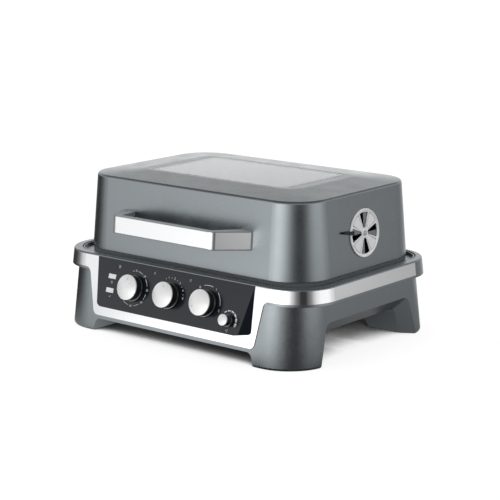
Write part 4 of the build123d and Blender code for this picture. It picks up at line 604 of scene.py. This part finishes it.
# The printed scales, by clock angles: lines from one to another, dots and figures at one. The small
# dial has blocks instead, each with its width.
TIMER_ARCS = ((-17, -9), (8, 31), (50, 76), (101, 122), (144, 169), (191, 217))
TIMER_FIGURES = ((-1, "0"), (40, "10"), (88, "20"), (133, "30"), (180, "40"), (228, "60"))
HEAT_FIGURES = ((-14, "1"), (11, "2"), (38, "3"), (65, "4"), (90, "5"))
HEAT_DOTS = (-26, -1, 24, 52, 78)
FUNCTION_ARCS = ((-20, 18), (46, 90))
FUNCTION_FIGURES = ((-37, "0"), (33, "1"), (105, "2"))
SMALL_BLOCKS = ((-44, -24, 1.5), (-17, 5, 2.0), (11, 34, 2.5), (40, 63, 3.0), (69, 92, 3.4), (98, 121, 3.8))
FIGURE_SHIFT = 0.4  # how much further out than the lines the figures are
DOT_SHARE = 0.75  # a dot's radius as a share of a line's width


class GRILL_OT_print_scales(bpy.types.Operator):
    """Prints the scales round the dials"""

    bl_idname = "grill.print_scales"
    bl_label = "Print the scales"

    def execute(self, context):
        sizes = context.scene.grill_sizes
        radius, line = sizes.scale_radius / MM, sizes.scale_line / MM
        thick, figure = sizes.print_height / MM, sizes.figure_height / MM

        scales = (
            ("timer_dial", "timer_scale", TIMER_ARCS, TIMER_FIGURES, ()),
            ("temperature_dial", "temperature_scale", (), HEAT_FIGURES, HEAT_DOTS),
            ("function_dial", "function_scale", FUNCTION_ARCS, FUNCTION_FIGURES, ()),
        )
        for dial, name, arcs, figures, dots in scales:
            x, down, _ = DIALS[dial]
            centre = panel_place(x, down)
            scale = Piece(name)
            for start, end in arcs:
                scale.plate(centre, arc_bar(radius - line / 2, radius + line / 2, start, end), 0, thick)
            for angle, text in figures:
                across, up = clock_point(radius + FIGURE_SHIFT, angle)
                scale.digits(panel_place(x + across, down - up), text, figure, thick)
            for angle in dots:
                across, up = clock_point(radius, angle)
                dot = arc_bar(0.01, line * DOT_SHARE, 0, 350, 12)[:12]
                scale.plate(panel_place(x + across, down - up), dot, 0, thick)
            scale.finish("base", "lens_white", "panel_ink", smooth=0)

        x, down, _ = DIALS["blower_dial"]
        radius = sizes.small_scale_radius / MM
        blocks = Piece("blower_scale")
        for start, end, width in SMALL_BLOCKS:
            block = arc_bar(radius - width / 2, radius + width / 2, start, end)
            blocks.plate(panel_place(x, down), block, 0, thick)
        blocks.finish("base", "lens_white", "panel_ink", smooth=0)
        return {"FINISHED"}


def ring_of(radius, width, start, end):
    """A line round part of a circle."""
    return arc_bar(radius - width / 2, radius + width / 2, start, end, 24)


# Plain signs where the words would be: each is a list of outlines in a square 2 across.
SIGNS = {
    "power_sign": [ring_of(0.75, 0.24, 35, 325), strip([(0, 0.1), (0, 1.0)], 0.24)],
    "ready_sign": [strip([(-0.8, 0.0), (-0.2, -0.6), (0.85, 0.65)], 0.26)],
    "timer_sign": [
        ring_of(0.85, 0.2, 0, 180),
        ring_of(0.85, 0.2, 180, 360),
        strip([(0, 0.5), (0, 0.0), (0.38, -0.2)], 0.18),
    ],
    "heat_sign": [
        ring_of(0.4, 0.2, -150, 150),
        strip([(-0.28, -0.3), (-0.28, 1.6)], 0.16),
        strip([(0.28, -0.3), (0.28, 1.6)], 0.16),
        ring_of(0.28, 0.16, -90, 90),
    ],
    "function_sign": [
        strip([(-0.9, -0.75), (0.9, -0.75)], 0.2),
        strip([(-0.9, 0.0), (0.9, 0.0)], 0.2),
        strip([(-0.9, 0.75), (0.9, 0.75)], 0.2),
    ],
    "blower_sign": [
        [
            (0.12 * math.cos(t) + 0.62 * math.cos(t + 0.5), 0.12 * math.sin(t) + 0.62 * math.sin(t + 0.5)),
            (0.95 * math.cos(t + 0.95), 0.95 * math.sin(t + 0.95)),
            (0.85 * math.cos(t + 1.5), 0.85 * math.sin(t + 1.5)),
            (0.2 * math.cos(t + 1.3), 0.2 * math.sin(t + 1.3)),
        ]
        for t in (0.0, 2.0944, 4.18879)
    ],
}
# Each sign's distance to the right and down the panel, and half its size
SIGN_PLACES = (
    ("timer_sign", -112.0, 10.2, 2.4),
    ("heat_sign", -37.0, 10.8, 2.1),
    ("function_sign", 37.0, 10.2, 2.2),
    ("power_sign", -123.4, 36.9, 2.2),
    ("ready_sign", -122.6, 59.6, 2.1),
    ("blower_sign", 124.0, 73.2, 2.5),
)


class GRILL_OT_print_signs(bpy.types.Operator):
    """Prints a plain sign beside each control"""

    bl_idname = "grill.print_signs"
    bl_label = "Print the signs"

    def execute(self, context):
        thick = context.scene.grill_sizes.print_height / MM
        for name, x, down, scale in SIGN_PLACES:
            sign = Piece(name)
            for outline in SIGNS[name]:
                grown = [(a * scale, b * scale) for a, b in outline]
                sign.plate(panel_place(x, down), grown, 0, thick)
            sign.finish("base", "lens_white", "panel_ink", smooth=0)
        return {"FINISHED"}


DIAL_LINE_HEIGHT = 3.9  # of the middle of a dial's bright line over the panel
# Each mark's clock angle, its distance from the cap's middle and its size against a large cap's
POINTERS = (
    ("timer_dial", 2.0, 13.2, 1.0),
    ("temperature_dial", 5.0, 13.2, 1.0),
    ("function_dial", 236.0, 13.2, 1.0),
    ("blower_dial", 0.0, 5.2, 0.55),
)


class GRILL_OT_mark_dials(bpy.types.Operator):
    """Adds the bright line round each dial and the mark on its cap"""

    bl_idname = "grill.mark_dials"
    bl_label = "Mark the dials"

    def execute(self, context):
        sizes = context.scene.grill_sizes
        half = sizes.dial_line / MM / 2
        for name, angle, from_middle, scale in POINTERS:
            x, down, radius = DIALS[name]
            centre = panel_place(x, down)
            line = Piece(name + "_line")
            profile = [
                (radius + out, DIAL_LINE_HEIGHT + half * up)
                for out, up in ((0.1, -1.0), (0.45, -0.8), (0.55, 0.0), (0.45, 0.8), (0.1, 1.0))
            ]
            line.lathe(centre, profile + profile[:1], 72)
            line.finish(name, "dial_cap", "dial_ring")

            crown = cap_height(name, from_middle)
            across, up = clock_point(from_middle, angle)
            dot = Piece(name + "_pointer")
            wide = sizes.pointer_width / MM * scale
            dot.lathe(
                panel_place(x + across, down - up, crown),
                [(wide / 2, -0.3), (wide / 2, 0.06), (wide / 2 - 0.12, 0.12), (0, 0.12)],
                20,
            )
            dot.finish(name, "dial_black", "pointer")
        return {"FINISHED"}


def cap_height(name, from_middle):
    """How high a cap's dome stands over the panel at a distance from its middle."""
    x, down, _ = DIALS[name]
    place = panel_place(x, down).inverted()
    points = [place @ (v.co / MM) for v in NODES[name + "_cap"].data.vertices]
    tops = {}
    for radius, height in sorted((math.hypot(p.x, p.y), p.z) for p in points if p.z > 0):
        key = round(radius, 1)
        tops[key] = max(height, tops.get(key, 0.0))
    below = max((r for r in tops if r <= from_middle), default=0.0)
    above = min((r for r in tops if r >= from_middle), default=below)
    if above - below < 1e-6:
        return tops[below]
    share = (from_middle - below) / (above - below)
    return tops[below] * (1 - share) + tops[above] * share


LID_LEAN = 0.079  # how far the lid's walls lean inwards for each millimetre up

# The vent's disc: dark lines of painted shade lie in the groove round each of its closed sectors.
VENT_MIDDLE = (229.673, 6.0, 182.0)
VENT_SECTORS = (45.0, 135.0, 225.0, 315.0)  # the middle of each sector in degrees
VENT_GROOVE = 1.16  # the groove's floor over the lid's wall
VENT_LINE = 0.7  # a line's width
VENT_LINE_LEVELS = (VENT_GROOVE - 0.02, VENT_GROOVE + 0.12)
VENT_LINE_HALF = 18.1  # half the angle that a sector's lines go round
VENT_LINE_REACH = (11.5, 32.6)


class GRILL_OT_line_vent(bpy.types.Operator):
    """Lays dark lines of painted shade in the grooves of the vent's disc"""

    bl_idname = "grill.line_vent"
    bl_label = "Line the vent"

    def execute(self, context):
        place = place_along(VENT_MIDDLE, (1, 0, LID_LEAN), (0, 1, 0))
        near, far = VENT_LINE_REACH
        lines = Piece("vent_lines")
        for middle in VENT_SECTORS:
            for side in (-VENT_LINE_HALF, VENT_LINE_HALF):
                turn = math.radians(middle + side)
                ends = [(r * math.cos(turn), r * math.sin(turn)) for r in (near, far)]
                lines.plate(place, strip(ends, VENT_LINE), *VENT_LINE_LEVELS)
            clock = 90.0 - middle
            rim = arc_bar(far - VENT_LINE, far, clock - VENT_LINE_HALF, clock + VENT_LINE_HALF)
            lines.plate(place, rim, *VENT_LINE_LEVELS)
        # the hinges' darker steel paints the shade in the grooves
        lines.finish("vent_damper", "vent_metal", "hinge_steel", smooth=0)
        return {"FINISHED"}


HEAD_STEPS = 32
HEAD_SINK = 0.4  # how far a head's underside goes into what it holds
HEAD_RIM = ((0.97, 0.0), (1.0, 0.25), (0.9, 0.72), (0.66, 0.96))  # shares of its radius and height
CROSS_REACH = 0.48  # of the cross recess, as shares of the head's radius
CROSS_HALF = 0.11
CROSS_TAPER = 0.75
CROSS_DEPTH = 0.55  # a share of the head's height


def screw(piece, place, radius, height, shank):
    """A pan-head screw with a cross recess; the place is under its head."""
    dish = [(shank, -HEAD_SINK), *((radius * out, height * up) for out, up in HEAD_RIM)]
    piece.lathe(place, dish, HEAD_STEPS)
    arm, half = radius * CROSS_REACH, radius * CROSS_HALF
    cross = []
    for quarter in range(4):
        turn = Matrix.Rotation(quarter * math.pi / 2, 2)
        for point in ((half, half), (arm, half), (arm, -half)):
            cross.append(tuple(turn @ Vector(point)))
    ordered = sorted(cross, key=lambda p: math.atan2(p[1], p[0]))
    turns = [2 * math.pi * i / HEAD_STEPS for i in range(HEAD_STEPS)]
    flat, shoulder = dish[-1]
    bottom = height - height * CROSS_DEPTH
    outer = piece.verts(place, [(flat * math.cos(t), flat * math.sin(t), shoulder) for t in turns])
    inner = piece.verts(place, [(x, y, height) for x, y in ordered])
    floor = piece.verts(place, [(x * CROSS_TAPER, y * CROSS_TAPER, bottom) for x, y in ordered])
    edges = []
    for loop in (outer, inner):
        for i in range(len(loop)):
            edges.append(piece.mesh.edges.new((loop[i], loop[(i + 1) % len(loop)])))
    bmesh.ops.triangle_fill(piece.mesh, edges=edges, use_beauty=True, use_dissolve=False)
    for i in range(len(inner)):
        j = (i + 1) % len(inner)
        piece.mesh.faces.new((inner[i], inner[j], floor[j], floor[i]))
    piece.mesh.faces.new(floor)


# The hinge leaves' screws by x and z, and the bottom cover's by x and y
LEAF_SCREWS = [(side * 130.0 + x, z) for side in (-1, 1) for x in (-11.0, 11.0) for z in (152.0, 166.0)]
COVER_SCREWS = [(x * 138.0, y * 100.0) for x in (-1, 1) for y in (-1, 0, 1)]
LID_REAR = 5.1 + 313.7 / 2  # the lid's middle and half its depth, at its lower edge
LID_LOW = 126.6
LEAF_THICK = 3.0
COVER_UNDERSIDE = 20.5
HEAD_RADIUS = 3.5
HEAD_HEIGHT = 2.2
SHANK_RADIUS = 1.75


class GRILL_OT_fit_screws(bpy.types.Operator):
    """Replaces the plain screws that show by ones with a cross recess"""

    bl_idname = "grill.fit_screws"
    bl_label = "Fit the screws"

    def execute(self, context):
        leaf = Piece("leaf_screw_heads")
        for x, z in LEAF_SCREWS:
            rear = LID_REAR + (LID_LOW - z) * LID_LEAN
            outward = Vector((0, 1, LID_LEAN)).normalized()
            spot = Vector((x, rear, z)) + outward * LEAF_THICK
            screw(leaf, place_along(spot, outward, (1, 0, 0)), HEAD_RADIUS, HEAD_HEIGHT, SHANK_RADIUS)
        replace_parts(leaf.finish("lid", "steel", "steel"), "leaf_screws")
        cover = Piece("cover_screw_heads")
        for x, y in COVER_SCREWS:
            under = place_along((x, y, COVER_UNDERSIDE), (0, 0, -1), (1, 0, 0))
            screw(cover, under, HEAD_RADIUS, HEAD_HEIGHT, SHANK_RADIUS)
        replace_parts(cover.finish("base", "steel", "steel"), "cover_screws")
        return {"FINISHED"}


class GRILL_OT_set_stage(bpy.types.Operator):
    """Makes the table, the light and the camera"""

    bl_idname = "grill.set_stage"
    bl_label = "Set the stage"

    def execute(self, context):
        stage = context.scene.grill_stage
        table(stage)
        world()
        lamps(stage)
        tent()
        camera(stage)
        context.scene.view_settings.view_transform = "Standard"
        return {"FINISHED"}


TABLE_RINGS = (0.0, 600.0, 1200.0, 2500.0, 5000.0, 9000.0)
TABLE_COLOUR = (0.18, 0.18, 0.18, 1)
TABLE_DARK = 0.1  # share of open sky at which the table is at its darkest


def table(stage):
    """A pale round table top that runs out into the background, with a painted shadow that dims its glow
    close to the object.
    """
    surface = bpy.data.materials.new("studio_table")
    wiring = empty_wiring(surface)
    diffuse = wiring.add("ShaderNodeBsdfDiffuse", Color=TABLE_COLOUR)
    lift = wiring.add("ShaderNodeEmission", Color=(1, 1, 1, 1))
    # ambient occlusion paints the shadow: it dims the table's glow near the object
    near = wiring.add("ShaderNodeAmbientOcclusion", Distance=stage.contact_reach, samples=16)
    open_share = wiring.add("ShaderNodeMapRange", interpolation_type="SMOOTHSTEP")
    open_share.inputs["From Min"].default_value = TABLE_DARK
    open_share.inputs["From Max"].default_value = stage.contact_width
    wiring.join(near.outputs["AO"], open_share.inputs["Value"])
    glow = wiring.sum("MULTIPLY", open_share.outputs["Result"], stage.table_lift)
    wiring.join(wiring.sum("MULTIPLY", wiring.seen(), glow), lift.inputs["Strength"])
    both = wiring.add("ShaderNodeAddShader")
    wiring.join(diffuse.outputs[0], both.inputs[0])
    wiring.join(lift.outputs[0], both.inputs[1])
    wiring.join(both.outputs[0], wiring.add("ShaderNodeOutputMaterial").inputs["Surface"])
    top = Piece("studio_table")
    top.lathe(Matrix.Identity(4), [(radius, 0.0) for radius in TABLE_RINGS], 64)
    top.make(surface)


def world():
    """White where it is looked at, mirrored or seen through glass, and no light elsewhere."""
    made = bpy.data.worlds.new("studio")
    bpy.context.scene.world = made
    wiring = empty_wiring(made)
    backdrop = wiring.add("ShaderNodeBackground", Color=(1, 1, 1, 1))
    wiring.join(wiring.seen(), backdrop.inputs["Strength"])
    wiring.join(backdrop.outputs["Background"], wiring.add("ShaderNodeOutputWorld").inputs["Surface"])


def round_point(azimuth, distance, height):
    """A point round the object in metres; azimuth 0 is in front and 90 to the right."""
    turn = math.radians(azimuth)
    return Vector((math.sin(turn) * distance, -math.cos(turn) * distance, height))


def lamp(name, kind, power, place, aim=(0, 0, 0.1)):
    """A lamp that mirrors don't show."""
    light = bpy.data.lights.new(name, kind)
    light.energy = power
    made = bpy.data.objects.new(name, light)
    bpy.context.scene.collection.objects.link(made)
    made.location = place
    made.rotation_mode = "QUATERNION"
    made.rotation_quaternion = (Vector(aim) - made.location).to_track_quat("-Z", "Y")
    made.visible_glossy = False
    return light


SKY_PLACE = (0, 0, 3)
SKY_ANGLE = math.radians(170)
LAMP_PLACE = (-30.0, 1.1, 2.0)  # azimuth in degrees, distance and height in metres
LAMP_SIZE = (1.8, 1.4)


def lamps(stage):
    """Light from the whole sky, and one large soft lamp over the front left."""
    sky = lamp("sky_light", "SUN", stage.fill, SKY_PLACE)
    sky.angle = SKY_ANGLE
    key = lamp("large_lamp", "AREA", stage.key, round_point(*LAMP_PLACE))
    key.shape = "RECTANGLE"
    key.size, key.size_y = LAMP_SIZE


# Brightness low on the tent's wall, by azimuth in degrees: 0 is in front and 90 to the right.
TENT_ROUND = (
    (-180.0, 0.6),
    (-160.0, 1.2),
    (-124.0, 1.2),
    (-108.0, 0.16),
    (-94.0, 0.06),
    (-80.0, 0.06),
    (-68.0, 0.2),
    (-58.0, 0.52),
    (-49.0, 0.84),
    (-42.0, 1.0),
    (-30.0, 1.12),
    (-14.0, 2.2),
    (0.0, 2.1),
    (12.0, 1.45),
    (23.0, 0.76),
    (34.0, 0.24),
    (45.0, 0.04),
    (57.0, 0.04),
    (69.0, 0.25),
    (81.0, 0.78),
    (93.0, 1.05),
    (112.0, 1.08),
    (126.0, 0.7),
    (140.0, 0.42),
    (160.0, 0.4),
    (180.0, 0.6),
)
# The same for the floor round the object.
FLOOR_ROUND = (
    (-180.0, 0.9),
    (-150.0, 0.4),
    (-106.0, 0.1),
    (-94.0, 0.03),
    (-80.0, 0.04),
    (-68.0, 0.14),
    (-58.0, 0.36),
    (-48.0, 0.7),
    (-36.0, 1.08),
    (-14.0, 1.6),
    (0.0, 1.5),
    (12.0, 1.1),
    (23.0, 0.6),
    (34.0, 0.25),
    (45.0, 0.08),
    (60.0, 0.1),
    (80.0, 0.35),
    (100.0, 0.4),
    (145.0, 0.35),
    (165.0, 0.75),
    (180.0, 0.9),
)
# Brightness by elevation in degrees; under the object it is dark, and so it is overhead.
TENT_UP = (
    (-90.0, 0.03),
    (-45.0, 0.1),
    (-28.0, 0.6),
    (-18.0, 1.0),
    (1.0, 1.0),
    (4.0, 1.2),
    (8.0, 1.15),
    (12.0, 0.84),
    (21.0, 0.7),
    (30.0, 0.42),
    (42.0, 0.26),
    (60.0, 0.2),
    (90.0, 0.18),
)
TENT_EVEN = (6.0, 12.0)  # between these elevations the brightness becomes the same all round
TENT_LOW = (-10.0, -5.0)  # and between these it goes over from the floor's to the wall's
TENT_MIDDLE = 0.13  # the height in metres from which elevations count
TENT_RADIUS = 4.0
TENT_TOP = 5.0
TENT_FLOOR = 0.0002  # just over the table, which it hides from mirrored rays


def tent():
    """A round tent that only mirrored rays see, light and dark where a studio's cards would be."""
    wall = Piece("studio_tent")
    radius, low, top = TENT_RADIUS / MM, TENT_FLOOR / MM, TENT_TOP / MM
    wall.lathe(Matrix.Identity(4), [(0.0, low), (radius, low), (radius, top), (0.0, top)], 96)
    surface = bpy.data.materials.new("studio_tent")
    wiring = empty_wiring(surface)
    parts = wiring.add("ShaderNodeSeparateXYZ")
    wiring.join(wiring.place, parts.inputs[0])
    x, y, z = parts.outputs
    azimuth = wiring.sum("ARCTAN2", x, wiring.sum("MULTIPLY", y, -1.0))
    squares = wiring.sum("ADD", wiring.sum("MULTIPLY", x, x), wiring.sum("MULTIPLY", y, y))
    level = wiring.sum("SQRT", squares)
    elevation = wiring.sum("ARCTAN2", wiring.sum("SUBTRACT", z, TENT_MIDDLE), level)
    low = wiring.step(elevation, *TENT_LOW, rising=False)
    high = wiring.sum("MULTIPLY", wiring.curve(azimuth, TENT_ROUND), wiring.sum("SUBTRACT", 1.0, low))
    around = wiring.sum("ADD", high, wiring.sum("MULTIPLY", wiring.curve(azimuth, FLOOR_ROUND), low))
    upward = wiring.curve(elevation, TENT_UP)
    even = wiring.step(elevation, *TENT_EVEN)
    gap = wiring.sum("MULTIPLY", wiring.sum("SUBTRACT", 1.0, around), even)
    bright = wiring.sum("MULTIPLY", wiring.sum("ADD", around, gap), upward)
    glow = wiring.add("ShaderNodeEmission")
    wiring.join(bright, glow.inputs["Strength"])
    wiring.join(glow.outputs["Emission"], wiring.add("ShaderNodeOutputMaterial").inputs["Surface"])
    made = wall.make(surface)
    made.visible_camera = False
    made.visible_diffuse = False
    made.visible_shadow = False
    made.visible_transmission = False


SENSOR_WIDTH = 36.0


def camera(stage):
    """The photograph's viewpoint."""
    turn, rise = stage.azimuth, stage.elevation
    back = Vector((math.sin(turn) * math.cos(rise), -math.cos(turn) * math.cos(rise), math.sin(rise)))
    right = Vector((math.cos(turn), math.sin(turn), 0))
    up = back.cross(right)
    lens = bpy.data.cameras.new("camera")
    lens.lens = stage.lens
    lens.sensor_width = SENSOR_WIDTH
    made = bpy.data.objects.new("camera", lens)
    bpy.context.scene.collection.objects.link(made)
    made.location = right * stage.aim_across + up * stage.aim_up + back * stage.distance
    made.rotation_mode = "QUATERNION"
    made.rotation_quaternion = Matrix((right, up, back)).transposed().to_quaternion()
    bpy.context.scene.camera = made


STEPS = (
    GRILL_OT_finish_parts,
    GRILL_OT_print_scales,
    GRILL_OT_print_signs,
    GRILL_OT_mark_dials,
    GRILL_OT_line_vent,
    GRILL_OT_fit_screws,
    GRILL_OT_set_stage,
)
SETTINGS = (("grill_colours", GrillColours), ("grill_sizes", GrillSizes), ("grill_stage", GrillStage))


class VIEW3D_PT_grill(bpy.types.Panel):
    """Lists the grill's settings and the steps that build it"""

    bl_label = "Table grill"
    bl_space_type = "VIEW_3D"
    bl_region_type = "UI"
    bl_category = "Table grill"

    def draw(self, context):
        for name, group in SETTINGS:
            box = self.layout.box()
            box.label(text=group.__doc__)
            for setting in group.__annotations__:
                box.prop(getattr(context.scene, name), setting)
        for step in STEPS:
            self.layout.operator(step.bl_idname)


def register():
    for group in (*(group for _, group in SETTINGS), *STEPS, VIEW3D_PT_grill):
        bpy.utils.register_class(group)
    for name, group in SETTINGS:
        setattr(bpy.types.Scene, name, PointerProperty(type=group))


def unregister():
    for name, _ in SETTINGS:
        delattr(bpy.types.Scene, name)
    for group in (VIEW3D_PT_grill, *reversed(STEPS), *(group for _, group in reversed(SETTINGS))):
        bpy.utils.unregister_class(group)


def main():
    register()
    bpy.ops.grill.finish_parts()
    bpy.ops.grill.print_scales()
    bpy.ops.grill.print_signs()
    bpy.ops.grill.mark_dials()
    bpy.ops.grill.line_vent()
    bpy.ops.grill.fit_screws()
    bpy.ops.grill.set_stage()


if __name__ == "__main__":
    main()
